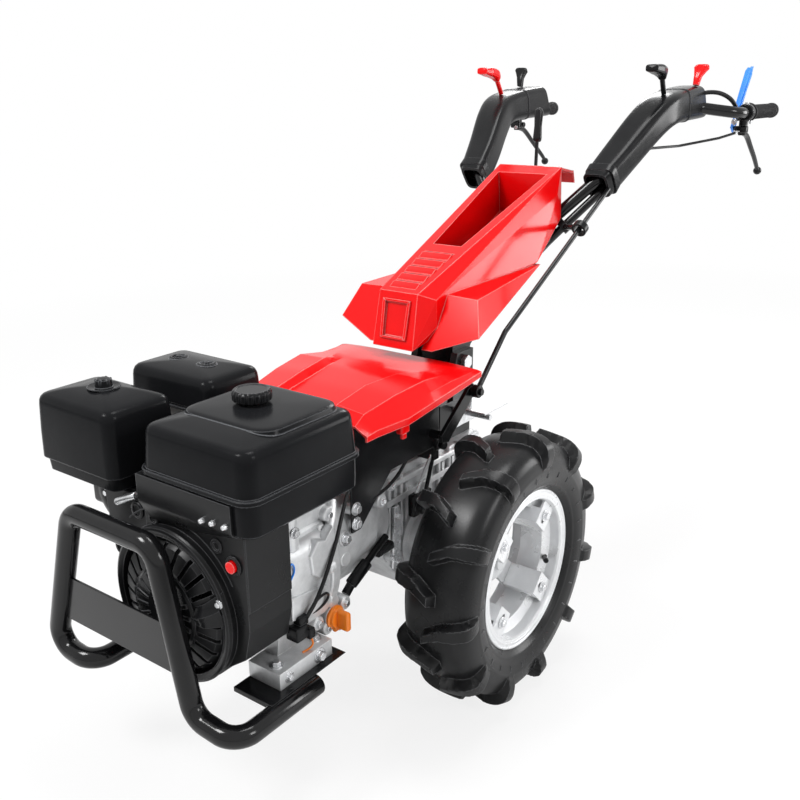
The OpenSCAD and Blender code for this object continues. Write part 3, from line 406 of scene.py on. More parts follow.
def roundedPath(corners, bend, steps=10):
    # straight runs joined by arcs: each corner becomes an arc of the bend radius tangent to both runs
    p = np.asarray(corners, float)
    path = [p[:1]]
    for k in range(1, len(p) - 1):
        d0, d1 = unit(p[k] - p[k - 1]), unit(p[k + 1] - p[k])
        turn = math.acos(float(np.clip(d0 @ d1, -1, 1)))
        side = unit(np.cross(np.cross(d0, d1), d0))
        centre = p[k] - d0 * bend * math.tan(turn / 2) + side * bend
        t = np.linspace(0, turn, steps)[:, None]
        path.append(centre - side * bend * np.cos(t) + d0 * bend * np.sin(t))
    path.append(p[-1:])
    return np.concatenate(path)


def smoothPath(points, steps=10):
    # Catmull-Rom curve through the points: each span is the cubic that leaves and arrives along its neighbours' chord
    p = np.asarray(points, float)
    p = np.concatenate([2 * p[:1] - p[1:2], p, 2 * p[-1:] - p[-2:-1]])
    t = np.linspace(0, 1, steps, endpoint=False)[None, :, None]
    a, b, c, d = (p[i:len(p) - 3 + i][:, None] for i in range(4))
    curve = 0.5 * (2 * b + (c - a) * t + (2 * a - 5 * b + 4 * c - d) * t ** 2 + (3 * b - a - 3 * c + d) * t ** 3)
    return np.concatenate([curve.reshape(-1, p.shape[1]), p[-2:-1]])


def pathFrames(path):
    # two unit normals carried along the path without twist
    along = unit(np.gradient(path, axis=0))
    side = np.empty_like(along)
    side[0] = acrossOf(along[0])
    for k in range(1, len(path)):
        side[k] = unit(side[k - 1] - (side[k - 1] @ along[k]) * along[k])
    return side, np.cross(along, side)


roundingTurns = np.array((0.3, 0.8, 1.3))  # where a rounded tube end has its rings


def tube(path, radius, sides=24, rounding=0.0):
    # a circle carried along a path: point = path + r (cos t side + sin t up); the ends are closed, rounded if asked
    path = np.asarray(path, float)
    r = np.broadcast_to(np.asarray(radius, float), (len(path),))
    if rounding > 0:
        drop, shrink = rounding * (1 - np.cos(roundingTurns)), rounding * (1 - np.sin(roundingTurns))
        along = unit(np.stack([path[1] - path[0], path[-1] - path[-2]]))
        head, tail = path[0] + drop[:, None] * along[0], path[-1] - drop[::-1, None] * along[1]
        path = np.concatenate([head, path[1:-1], tail])
        r = np.concatenate([r[0] - shrink, r[1:-1], r[-1] - shrink[::-1]])
    side, up = pathFrames(path)
    t = turns(sides)[None, :, None]
    rings = path[:, None] + r[:, None, None] * (np.cos(t) * side[:, None] + np.sin(t) * up[:, None])
    n, ring = len(path), np.arange(sides)
    points = np.concatenate([rings.reshape(-1, 3), path[:1], path[-1:]])
    return (points, gridQuads(n, sides, flip=True), capFan(ring, n * sides, flip=True),
            capFan(ring + (n - 1) * sides, n * sides + 1))


def revolve(profile, at, axis, sides=48):
    # a profile of (distance along the axis, radius) turned about an axis through a point
    profile, axis = np.asarray(profile, float), unit(axis)
    spoke = spokes(axis, turns(sides))[None]
    points = np.asarray(at, float) + profile[:, None, :1] * axis + profile[:, None, 1:] * spoke
    return points.reshape(-1, 3), gridQuads(len(profile), sides, flip=True)


def revolved(profile, spots, axis, sides):
    # the same turned form at every spot
    return [revolve(profile, at, axis, sides) for at in spots]


def pillow(corner, opposite, r, lat=16, lon=32):
    # a box with round edges: each point is a corner of the inner core plus r times a direction on the sphere
    low, high = np.sort(np.array([corner, opposite], float), axis=0)
    a, b = np.linspace(-np.pi / 2, np.pi / 2, lat)[:, None], turns(lon, 0.5)
    d = np.stack([np.cos(a) * np.cos(b), np.cos(a) * np.sin(b), np.sin(a) * np.ones(lon)], -1)
    points = (low + high) / 2 + np.sign(d) * ((high - low) / 2 - r) + r * d
    ring = np.arange(lon)[None]
    return points.reshape(-1, 3), gridQuads(lat, lon, flip=True), ring[:, ::-1], ring + (lat - 1) * lon


boltForm = {"sides": 24, "washer": [(0.0, 1.55), (0.18, 1.55)],
            "head": [(0.2, 1.0), (0.95, 1.0), (1.1, 0.86), (1.1, 0.0)]}


def hexBolt(at, axis, size):
    # a chamfered six-sided head on a round washer: the head's radius follows 1 / cos of the angle to the nearest flat
    axis, t = unit(axis), turns(boltForm["sides"])
    flat = np.cos(np.pi / 6) / np.cos((t % (np.pi / 3)) - np.pi / 6)
    rings = [(h, np.full(len(t), k)) for h, k in boltForm["washer"]] + [(h, flat * k) for h, k in boltForm["head"]]
    points = [np.asarray(at, float) + size * (axis * h + spokes(axis, t) * k[:, None]) for h, k in rings]
    return np.concatenate(points), gridQuads(len(rings), len(t), flip=True)


def hexBolts(axis, spots):
    # bolts of (x, y, z, size) that all face one way
    return [hexBolt(spot[:3], axis, spot[3]) for spot in spots]


def roundRect(x0, x1, y0, y1, r, perCorner=8):
    # a level ring round a rectangle: quarter circles at the corners joined by straight runs, anticlockwise
    a = np.linspace(0, np.pi / 2, perCorner)
    centres = ((x1 - r, y1 - r), (x0 + r, y1 - r), (x0 + r, y0 + r), (x1 - r, y0 + r))
    return np.concatenate([np.stack([x + r * np.cos(a + q), y + r * np.sin(a + q)], -1)
                           for (x, y), q in zip(centres, turns(4))])


def moulded(levels, crown, capRings=10):
    # a moulded cover: rounded rectangles stacked by height, the last drawn in to its middle under a crown of
    # height crown (1 - k squared), where k is the share of the ring that is left
    rings = []
    for height, *sizes in levels:
        outline = roundRect(*sizes)
        rings.append(np.column_stack([outline, np.full(len(outline), height)]))
    last, n = rings[-1], len(outline)
    middle = last.mean(0)
    for k in np.linspace(1, 0, capRings + 1)[1:]:
        rings.append(middle + (last - middle) * k + (0, 0, crown * (1 - k ** 2)))
    return np.concatenate(rings), gridQuads(len(rings), n, flip=True), np.arange(n)[None, ::-1]


def cover(form):
    # a moulded cover from levels of (height, inset from the outline, corner radius)
    (x0, x1), (y0, y1) = form["x"], form["y"]
    levels = [(z, x0 + by, x1 - by, y0 + by, y1 - by, corner) for z, by, corner in form["levels"]]
    return moulded(levels, form["crown"])


def plate(outline, at, u, v, thick, chamfer=0.8):
    # a flat plate: the outline's points a u + b v are carried along u x v, the faces' edges drawn in by a chamfer
    outline, u, v = np.asarray(outline, float), unit(u), unit(v)
    middle, n = outline.mean(0), len(outline)
    small = middle + (outline - middle) * (1 - chamfer / np.abs(outline - middle).max())
    rings = [(small, 0.0), (outline, chamfer), (outline, thick - chamfer), (small, thick)]
    points = [np.asarray(at, float) + o[:, :1] * u + o[:, 1:] * v + np.cross(u, v) * h for o, h in rings]
    return np.concatenate(points), gridQuads(4, n), np.arange(n)[None], (np.arange(n) + 3 * n)[None, ::-1]


def sidePlate(outline, x, thick, chamfer):
    # an upright plate along the machine, its outline in y and z and its inner face at x
    return plate(outline, (x, 0, 0), rearward, upward, thick, chamfer)


def filled(grid, steps=5):
    # straight fill between the grid's rows, so that a twisted patch bends evenly
    t = np.linspace(0, 1, steps, endpoint=False)[None, :, None, None]
    spans = grid[:-1, None] * (1 - t) + grid[1:, None] * t
    return np.concatenate([spans.reshape(-1, *grid.shape[1:]), grid[-1:]])


def thickSheet(top, low):
    # a closed skin over two sheets of the same grid: each row runs over the top and back underneath
    n, m = top.shape[:2]
    loop = np.concatenate([top, low[:, ::-1]], 1)
    j = np.arange(m - 1)
    ends = np.stack([j, j + 1, 2 * m - 2 - j, 2 * m - 1 - j], -1)
    return loop.reshape(-1, 3), gridQuads(n, 2 * m), ends, ends[:, ::-1] + (n - 1) * 2 * m


# tubes of the guard and the handlebar
guardForm = {"radius": 17.0, "rounding": 2.0, "bend": 34.0, "front": -574.0, "outline": [
    (165, 187), (78, 193), (24, 458), (-170, 458), (-258, 193), (-165, 187)], "inner": -400.0}
guardRoute = [(x, guardForm["front"], z) for x, z in guardForm["outline"]]
guardEnds = [(x, guardForm["inner"], z) for x, z in (guardForm["outline"][0], guardForm["outline"][-1])]
guardPath = roundedPath(guardEnds[:1] + guardRoute + guardEnds[1:], guardForm["bend"], 12)
addPiece("guardTube", [tube(guardPath, guardForm["radius"], 32, guardForm["rounding"])], "gloss_black_steel", "chassis",
         ["front_guard"])

barForm = {"radius": 13.0, "bend": 48.0, "braceRadius": 9.0, "braceBend": 40.0, "route": [
    (24, 215, 590), (66, 517, 794), (152, 560, 884), (204, 735, 1018), (222, 900, 1020), (308, 960, 1006),
    (308, 1220, 1006)], "brace": [(20, 300.3, 622.3), (70, 500, 752), (150, 562, 850), (160, 600, 880)]}
for side, sign in bothSides:
    barPath = roundedPath(mirrored(barForm["route"], sign), barForm["bend"])
    bracePath = roundedPath(mirrored(barForm["brace"], sign), barForm["braceBend"])
    tubes = [tube(barPath, barForm["radius"], 28, 1.5), tube(bracePath, barForm["braceRadius"], 24, 1.0)]
    addPiece(side + "BarTube", tubes, "gloss_black_steel", "handlebar", [side + "_bar"])
print("tubes are in")

# tyres: the carcass profile is carried round the axle and pushed out by the lugs
wheelCentre = (262.0, 0.0, 254.0)
tyreForm = {
    "half": [(48.3, 132.3), (48.3, 145.6), (56, 151), (64, 166), (68, 182), (67.5, 197), (63, 214), (54, 226),
             (40, 231.5), (20, 233.5), (0, 234)], "around": 880, "across": 106,
    "lugs": 11, "lugHeight": 19.5, "flank": 3.4, "pitchRadius": 250.0, "kinks": (-7, 26, 72),
    "middles": (0.6, 21.0, 31.0), "halfWidths": (9.0, 11.0, 14.5), "nose": (-10, 4.0), "foot": (191, 4.0),
    "rise": (186, 36.0, 0.12), "rings": ((188, 1.6, 0.9), (158, 1.8, 1.2)), "wallFrom": 50,
    "ticks": 26, "tickTurn": 0.05, "tickFoot": (172, 66.3), "tickTip": (182, 67.8), "tickRadius": 0.8}


def carcassProfile(form):
    # half outline from bead to crown, mirrored, cornered off twice and spaced evenly along its length
    half = np.array(form["half"], float)
    line = np.concatenate([half, half[-2::-1] * (-1, 1)])
    for _ in range(2):
        early, late = line[:-1] * 0.75 + line[1:] * 0.25, line[:-1] * 0.25 + line[1:] * 0.75
        line = np.concatenate([line[:1], np.stack([early, late], 1).reshape(-1, 2), line[-1:]])
    length = np.concatenate([[0], np.cumsum(np.linalg.norm(np.diff(line, axis=0), axis=1))])
    s = np.linspace(0, length[-1], form["across"])
    return np.stack([np.interp(s, length, line[:, k]) for k in (0, 1)], -1)


def lugHeight(angle, axial, radius, form, side):
    # height of one half's lugs: a kinked bar whose middle line and half width change along the axle; the flanks
    # fall over a set width, the nose stops past the tyre's middle and the outer end fades on the sidewall
    a = axial * side
    middle, halfWidth = (np.interp(a, form["kinks"], form[k]) for k in ("middles", "halfWidths"))
    pitch = 2 * np.pi / form["lugs"]
    turn = angle + middle / form["pitchRadius"] - (0.0 if side > 0 else pitch / 2)
    away = np.abs((turn + pitch / 2) % pitch - pitch / 2) * form["pitchRadius"]
    body = np.clip((halfWidth + form["flank"] - 1 - away) / form["flank"], 0, 1)
    nose = np.clip((a - form["nose"][0]) / form["nose"][1], 0, 1)
    foot = np.clip((radius - form["foot"][0]) / form["foot"][1], 0, 1)
    start, width, least = form["rise"]
    return form["lugHeight"] * body * nose * foot * np.clip((radius - start) / width, least, 1.0)


def makeTyre(name, side, form):
    # profile points pushed along their normals by the higher lug and by two thin rings on the sidewall, then turned
    # about the axle; short ticks stand on both sidewalls
    profile = carcassProfile(form)
    slope = unit(np.gradient(profile, axis=0))
    angle, axial = np.meshgrid(turns(form["around"]), profile[:, 0], indexing="ij")
    radius = np.broadcast_to(profile[:, 1], axial.shape)
    push = np.maximum(*(lugHeight(angle, axial, radius, form, half) for half in (1, -1)))
    rings = sum(np.exp(-((radius - at) / width) ** 2) * height for at, width, height in form["rings"])
    push = push + rings * (np.abs(axial) > form["wallFrom"])
    x, r = axial + push * slope[:, 1], radius - push * slope[:, 0]
    centre = mirrored(wheelCentre, side)
    points = centre + np.stack([side * x, -r * np.sin(angle), r * np.cos(angle)], -1)
    shapes = [(points.reshape(-1, 3), gridQuads(form["around"], form["across"], wrapRows=True, flip=side > 0))]
    for face in (-side, side):
        for a in turns(form["ticks"]) + form["tickTurn"]:
            ends = [centre + (face * out, -high * math.sin(a), high * math.cos(a))
                    for high, out in (form["tickFoot"], form["tickTip"])]
            shapes.append(tube(np.linspace(*ends, 4), form["tickRadius"], 6))
    addPiece(name + "TreadedTyre", shapes, "tyre", name + "_wheel", [name + "_tyre"], 42.0)


for side, sign in bothSides:
    makeTyre(side, sign, tyreForm)
print("tyres are in")

# engine covers in black
tankForm = {
    "x": (-49.0, 185.0), "y": (-540.0, -290.0), "crown": 9.0, "levels": [
        (490, 22, 18), (491, 10, 22), (495, 6, 24), (512, 5, 25), (543, 5, 25), (543.5, 0.6, 28), (544.5, 0, 28),
        (550.5, 0, 28), (551.5, 0.8, 28), (551.8, 4.5, 25), (575, 6.2, 24), (603, 8.6, 23), (608.5, 9.8, 22),
        (612.5, 12, 20), (615, 15, 18), (616.6, 19, 16), (617.4, 24, 14)]}
panelForm = {"x": (-26.0, 160.0), "y": (-476.0, -306.0), "crown": 1.6, "levels": [
    (617, 0, 34), (624.4, 3, 32), (625.8, 6, 30), (626.4, 12, 26)]}
capSeat = revolve([(0, 50), (3.5, 50), (5.5, 47), (6, 38), (6.6, 36)], (50, -391, 620), upward, 64)
addPiece("tankShell", [cover(tankForm), cover(panelForm), capSeat], "tank_black", "chassis", ["fuel_tank"], 28.0)

filterForm = {
    "x": (-286.0, -95.0), "y": (-545.0, -413.0), "crown": 12.0, "levels": [
        (490, 12, 14), (492, 8, 16), (513, 6, 17), (514, 1, 19), (515.5, 0, 20), (560, 0.8, 20), (602, 2.6, 20),
        (609, 3.6, 19), (614, 5.6, 18), (617.5, 9, 16), (619.6, 13.5, 13)],
    "knobAt": (-186, -479, 631), "ribs": 6, "ribCircle": 11.0, "ribHalf": (2, 2, 6), "ribMiddle": 639}
filterKnob = revolve([(0, 26), (2, 26), (1.2, 20), (0.5, 14), (4, 13.5), (12, 12), (14, 9), (14.4, 0)],
                     filterForm["knobAt"], upward)
filterRibs = []
for a in turns(filterForm["ribs"]):
    middle = np.array((filterForm["knobAt"][0] + filterForm["ribCircle"] * math.cos(a),
                       filterForm["knobAt"][1] + filterForm["ribCircle"] * math.sin(a), filterForm["ribMiddle"]))
    filterRibs.append(pillow(middle - filterForm["ribHalf"], middle + filterForm["ribHalf"], 1.6, 8, 16))
addPiece("filterCover", [cover(filterForm), filterKnob] + filterRibs, "tank_black", "chassis", ["air_filter"], 28.0)

mufflerForm = {
    "x": (-266.0, -66.0), "y": (-376.0, -248.0), "crown": 7.0, "levels": [
        (570, 8, 14), (572, 2, 17), (577, 0.6, 19), (578, 3, 18), (580.5, 3, 18), (581.5, 0, 20), (612, 1.6, 20),
        (619, 2.8, 19), (624.5, 5.4, 17), (628, 9, 15), (630, 14, 12)], "screws": (-205, -135)}
screwCollars = revolved([(-3, 17), (1.5, 16.5), (2.6, 14), (2.6, 11.5), (-3, 10.5)],
                        [(x, -312, 635.5) for x in mufflerForm["screws"]], upward, 40)
coverScrews = hexBolts(upward, [(x, -312, 634.5, 4.6) for x in mufflerForm["screws"]])
addPiece("exhaustCover", [cover(mufflerForm)] + screwCollars + coverScrews, "tank_black", "chassis",
         ["muffler_cover"], 28.0)

capForm = {"at": (50.0, -391.0, 633.0), "radius": 30.0, "notches": 18, "depth": 1.6, "sides": 144, "levels": [
    (0, 0.9, 0), (0, 0.97, 1), (1.5, 1.0, 1), (12, 1.0, 1), (14.5, 0.95, 1), (16, 0.87, 0), (16, 0.8, 0), (15, 0.78, 0),
    (15, 0.0, 0)]}


def fuelCap(form):
    # a turned cap whose rim radius dips in a cosine of the angle, so that a hand can grip it
    a = turns(form["sides"])
    dip = form["depth"] * np.clip(np.cos(a * form["notches"]) - 0.2, 0, 1)
    rings = []
    for z, share, notched in form["levels"]:
        r = form["radius"] * share - dip * notched
        rings.append(np.column_stack([r * np.cos(a), r * np.sin(a), np.full(len(a), z)]) + form["at"])
    return np.concatenate(rings), gridQuads(len(rings), len(a), flip=True)


addPiece("fuelCap", [fuelCap(capForm)], "black_plastic", "chassis", ["fuel_cap"], 30.0)
print("covers are in")

# hood: six rows across, from front to rear, with crisp creases both ways
hoodForm = {"wall": 3.5, "rows": [
    (-245, [(0, 556), (66, 556), (72, 560), (126, 560), (140, 552), (150, 548), (150, 538)]),
    (-222, [(0, 568), (62, 568), (70, 580), (126, 574), (142, 562), (153, 552), (153, 540)]),
    (-150, [(0, 580), (62, 580), (72, 594), (134, 588), (152, 570), (165, 555), (165, 543)]),
    (-76, [(0, 588), (70, 588), (84, 598), (142, 596), (157, 578), (165, 563), (165, 551)]),
    (-11, [(0, 588), (80, 588), (104, 590), (135, 587), (155, 580), (165, 570), (165, 558)]),
    (74, [(0, 583), (90, 583), (120, 582), (140, 581), (156, 580), (165, 578), (165, 568)])]}


def hoodSheet(form, wall):
    # the rows' points, mirrored to both sides and filled straight between the rows, so that every crease stays crisp;
    # the inner sheet is let down by the wall, and drawn in by it along the skirt
    half = np.array([[(x, y, z) for x, z in points] for y, points in form["rows"]], float)
    half[:, 5:, 0] -= wall
    half[:, :6, 2] -= wall
    return filled(np.concatenate([mirrored(half[:, :0:-1], -1.0), half], 1))


hoodSkin = thickSheet(hoodSheet(hoodForm, 0.0), hoodSheet(hoodForm, hoodForm["wall"]))
addPiece("hoodShell", [hoodSkin], "red_plastic", "chassis", ["hood"], 11.0)

# console: louvre slats on the sloped top and a framed nose panel
louvreForm = {"count": 5, "front": 55.0, "pitch": 25.0, "foot": (44.0, 711.0), "slope": (905 - 711) / (531 - 44),
              "halfWidth": 30.0, "section": [(0, -0.5), (19, -0.5), (19, 2.8), (16, 3.0), (1, 0.3)]}
upSlope = unit((0.0, 1.0, louvreForm["slope"]))
slats = []
for k in range(louvreForm["count"]):
    y, half = louvreForm["front"] + k * louvreForm["pitch"], louvreForm["halfWidth"] + k
    z = louvreForm["foot"][1] + louvreForm["slope"] * (y - louvreForm["foot"][0])
    slats.append(plate(louvreForm["section"], (-half, y, z), upSlope, np.cross(leftward, upSlope), 2 * half, 0.6))
noseForm = {"at": (0, 23, 608), "up": (0, 0.2, 0.98), "thick": 4.0, "strips": [
    [(-29, 17), (-23, 21), (-25, 86), (-31, 91)], [(23, 21), (29, 17), (31, 91), (25, 86)],
    [(-29, 17), (29, 17), (23, 21), (-23, 21)], [(-25, 86), (25, 86), (31, 91), (-31, 91)]]}
noseFrame = [plate(strip, noseForm["at"], leftward, noseForm["up"], noseForm["thick"]) for strip in noseForm["strips"]]
addPiece("consoleTrim", slats + noseFrame, "red_plastic", "handlebar", (), 25.0)

# sleeves round the bars: rows of middle, half width, half depth and forward lean in degrees
sleeveForm = {"squareness": 0.42, "around": 72, "rows": [
    (153, 545, 868, 27, 31, 37), (158, 562, 882, 30, 32, 37), (172, 620, 928, 34, 32, 36), (192, 690, 986, 37, 33, 30),
    (203, 742, 1014, 38.5, 33, 14), (203.5, 815, 1025, 38.5, 36, 12), (203.5, 919, 1031, 38.5, 41, 27)],
    "bands": ((1, 2.2, 9), (5, 1.4, 1.6))}


def sleeveRing(form, place, grow=0.0, scale=1.0):
    # a rounded box section (x = w |cos|^q, d |sin|^q) leaning along the bar
    x, y, z, w, d, lean = place
    cx, sx = squaredTurn(form["around"], form["squareness"])
    w, d = scale * (w + grow) * cx, scale * (d + grow) * sx
    return np.column_stack([x + w, y - d * math.sin(lean), z + d * math.cos(lean)])


def sleeve(form, sign):
    # sections smoothed between the given rows, drawn in at both ends, and raised bands round two of the rows
    rows = np.array(form["rows"], float)
    rows[:, 5] = np.radians(rows[:, 5])
    smooth = smoothPath(rows, 8)
    steps = [(0, 0.8), (0, 0.95)] + [(k, 1.0) for k in range(len(smooth))] + [(-1, 0.95), (-1, 0.0)]
    shapes = [[sleeveRing(form, smooth[k], 0.0, scale) for k, scale in steps]]
    for k, grow, width in form["bands"]:
        along = np.array([0.0, math.cos(rows[k, 5]), math.sin(rows[k, 5])])
        edges = ((-width, -1), (-width, grow), (width, grow), (width, -1))
        shapes.append([sleeveRing(form, rows[k], out) + along * s for s, out in edges])
    return [(mirrored(np.concatenate(rings), sign), gridQuads(len(rings), form["around"])) for rings in shapes]


for side, sign in bothSides:
    addPiece(side + "SleeveShell", sleeve(sleeveForm, sign), "black_plastic", "handlebar", [side + "_sleeve"], 40.0)

# grips with rings of ribs: the profile is (distance from the front, radius)
gripForm = {"at": (308.0, 1024.0, 1006.0), "radius": 17.0, "flange": 22.0, "bore": 13.2, "ribs": 26, "ribPitch": 6.6,
            "groove": 1.1, "ribSteps": ((0, 1), (0.8, 0), (1.6, 0), (2.4, 1))}
gripR, flangeR = gripForm["radius"], gripForm["flange"]
gripRibs = [(10 + k * gripForm["ribPitch"] + step, gripR - gripForm["groove"] * low)
            for k in range(gripForm["ribs"]) for step, low in gripForm["ribSteps"]]
gripFront = [(0, gripForm["bore"]), (0, flangeR - 1.5), (1.5, flangeR), (4.5, flangeR), (6, flangeR - 1.5), (8, gripR)]
gripEnd = [(186, gripR - gripForm["groove"]), (188, gripR + 1.2), (196, gripR + 1.2), (199, gripR - 1),
           (200, gripR - 6), (200, 0)]
for side, sign in bothSides:
    grip = revolve(gripFront + gripRibs + gripEnd, mirrored(gripForm["at"], sign), rearward, 40)
    addPiece(side + "RibbedGrip", [grip], "grip_rubber", "handlebar", [side + "_grip"], 40.0)

# brake and clutch levers with their clamps
leverForm = {
    "route": [(304, 1014, 962), (304, 1050, 950), (304, 1092, 922), (304, 1130, 896), (303, 1158, 876),
              (303, 1172, 864)],
    "places": (0, 0.15, 0.7, 1), "radii": (8.0, 6.4, 5.4, 4.8), "ball": 10.0, "ballShift": (0, 3.0, -3.6),
    "clamp": [(0, 13.3), (0, 18), (2, 20), (16, 20), (18, 18), (18, 13.3)],
    "pivot": [(0, 0), (0, 6), (1, 7), (28, 7), (29, 6), (29, 0)],
    "adjuster": [(0, 3.2), (14, 3.2), (14, 4.6), (20, 4.6), (20, 0)]}
ballTurns = np.linspace(0, np.pi, 13)
ballProfile = leverForm["ball"] * np.stack([-np.cos(ballTurns), np.sin(ballTurns)], -1)
for side, sign in bothSides:
    path = mirrored(smoothPath(leverForm["route"], 8), sign)
    radii = np.interp(np.linspace(0, 1, len(path)), leverForm["places"], leverForm["radii"])
    ball = revolve(ballProfile, path[-1] + leverForm["ballShift"], path[-1] - path[-2], 28)
    clamp = revolve(leverForm["clamp"], (308 * sign, 1002, 1006), rearward, 40)
    block = pillow(*mirrored([(296, 1002, 954), (313, 1020, 992)], sign), 3)
    pivot = revolve(leverForm["pivot"], (284 * sign, 1011, 968), (sign, 0, 0), 24)
    perch = pillow(*mirrored([(290, 992, 960), (318, 1012, 976)], sign), 4)
    addPiece(side + "LeverSet", [tube(path, radii, 20), ball, clamp, block, pivot, perch], "black_steel", "handlebar",
             [side + "_hand_lever"], 36.0)
    adjuster = revolve(leverForm["adjuster"], (304 * sign, 1000, 964), (-0.48 * sign, -0.87, -0.1), 16)
    screws = [hexBolt((318 * sign, 1011, 985), (sign, 0, 0), 4.6), hexBolt((308 * sign, 1011, 1025), upward, 4.2)]
    addPiece(side + "LeverScrews", screws + [adjuster], "zinc_steel", "handlebar")
print("hood, console trim, sleeves and grips are in")

# selector rod with its eye, and the column's lock
rodForm = {"eye": (152.0, 80.0, 536.0), "knee": (155.0, 172.0, 630.0), "top": (176.0, 549.0, 860.0), "radius": 5.0,
           "bend": 30.0, "fromEye": 9.0, "inSleeve": 12.0}
eye, knee, rodTop = (np.array(rodForm[k]) for k in ("eye", "knee", "top"))
rodRoute = [eye + unit(knee - eye) * rodForm["fromEye"], knee, rodTop + unit(rodTop - knee) * rodForm["inSleeve"]]
eyeRing = revolve([(-7, 6.3), (-7, 11), (-6, 12), (6, 12), (7, 11), (7, 6.3), (-7, 6.3)], eye, leftward, 36)
rodBar = tube(roundedPath(rodRoute, rodForm["bend"], 14), rodForm["radius"], 20)
addPiece("selectorRodBar", [rodBar, eyeRing], "black_steel", "selector_rod", ["selector_rod"])

lockRoute = [(-8, 354.2, 676), (-8, 560, 786), (-40, 630, 880), (-42, 636, 950)]
lockGrip = revolve([(0, 0), (0, 7), (3, 9.4), (10, 10), (34, 8.6), (62, 10), (70, 9), (74, 5), (75, 0)],
                   (-42, 636, 948), (-2, 8, 73), 28)
addPiece("columnLockRod", [tube(roundedPath(lockRoute, 14.0, 8), 4.0, 16), lockGrip], "black_steel", "handlebar",
         ["column_lock_handle"])


def addCord(name, route, radius, slotName, body, replaced=(), bend=None):
    # a tube along its route
    path = roundedPath(route, bend) if bend else smoothPath(route)
    piece = addPiece(name, [tube(path, radius, 14)], slotName, body, replaced)


clutchRoute = [(304, 999.5, 964), (272, 940, 950), (215, 840, 936), (192, 730, 936), (180.6, 670.1, 922.6)]
addCord("clutchCableTube", clutchRoute, 3.0, "cable_black", "handlebar", ["clutch_cable"], 20.0)

# small levers on the sleeves: a stem with a knob and a paddle on each side, their colours swapped
knobForm = {
    "stem": [(205, 747, 1051), (206, 734, 1072), (207, 724, 1088)], "stemRadius": 5.5, "squareness": 0.55, "around": 40,
    "knob": {"route": [(207, 730, 1085), (208, 716, 1096), (209, 690, 1101), (208, 662, 1103)],
             "halfWidth": (8, 14, 17, 14), "halfDepth": (8, 11, 10.5, 7.5)},
    "paddle": {"route": [(228, 880, 1068), (230, 884, 1088), (233, 893, 1104), (234, 897, 1109)],
               "halfWidth": (6.5, 9, 17, 15), "halfDepth": (7, 6.5, 7.5, 6.5)},
    "colours": {"left": ("black", "red"), "right": ("red", "black")}}


def pod(form, sign):
    # a moulded knob: rounded sections carried along a path, as wide in x as given and as deep across the path;
    # the end sections shrink by a scale and are pushed out along the path by a share of the depth
    path = smoothPath(form["route"], 8)
    share = np.linspace(0, 1, len(path))
    w, d = (np.interp(share, np.linspace(0, 1, len(form[k])), form[k]) for k in ("halfWidth", "halfDepth"))
    along = unit(np.gradient(path, axis=0))
    across = unit(np.cross(along, leftward))
    cx, sx = (wave[:, None] for wave in squaredTurn(knobForm["around"], knobForm["squareness"]))
    steps = [(0, 0.0, -0.25), (0, 0.7, -0.12)] + [(k, 1.0, 0.0) for k in range(len(path))]
    steps += [(-1, 0.8, 0.16), (-1, 0.0, 0.25)]
    rings = [path[k] + along[k] * d[k] * push + scale * (w[k] * cx * np.array(leftward) + d[k] * sx * across[k])
             for k, scale, push in steps]
    return mirrored(np.concatenate(rings), sign), gridQuads(len(rings), knobForm["around"])


for side, sign in bothSides:
    knobColour, paddleColour = knobForm["colours"][side]
    stem = tube(mirrored(smoothPath(knobForm["stem"], 6), sign), knobForm["stemRadius"], 18)
    for name, shapes, colour in (("KnobLever", [stem, pod(knobForm["knob"], sign)], knobColour),
                                 ("PaddleLever", [pod(knobForm["paddle"], sign)], paddleColour)):
        addPiece(side + name, shapes, colour + "_plastic", "handlebar", [side + "_" + colour + "_lever"], 40.0)

# hoses, throttle and lock at the grips
hoseRoute = [(226, 905, 1046), (244, 918, 1052), (266, 936, 1050), (284, 956, 1038), (294, 974, 1020), (297, 988, 1004),
             (298, 996, 990)]
for name, sign in (("handleHose", 1.0), ("brakeHose", -1.0)):
    addCord(name, mirrored(hoseRoute, sign), 5.0, "cable_black", "handlebar")
throttleArm = tube([(-282, 992, 1030), (-270, 1000, 1046), (-262, 1016, 1052)], 4.0, 16, 1.5)
throttlePerch = [pillow((-330, 990, 1012), (-296, 1000, 1030), 4.0), pillow((-300, 984, 1014), (-270, 1002, 1034), 4.0)]
addPiece("throttlePerch", throttlePerch + [throttleArm], "black_steel", "handlebar")
bladeOutline = [(-9, 0), (5, 0), (6, 60), (7, 110), (4, 126), (-7, 128), (-11, 118), (-10, 60)]
blade = plate(bladeOutline, (281, 1031, 1001), leftward, (0, 0.5755, 0.8178), 5.0, 1.2)
addPiece("lockBlade", [blade], "blue_plastic", "handlebar", (), 30.0)
perchBolts = hexBolts(forward, [(-285, 984, 1024, 4.5), (286, 1000, 985, 4.5)])
perchBolts += hexBolts(upward, [(-308, 1011, 1026, 4.5)])
addPiece("perchSteel", perchBolts, "zinc_steel", "handlebar")

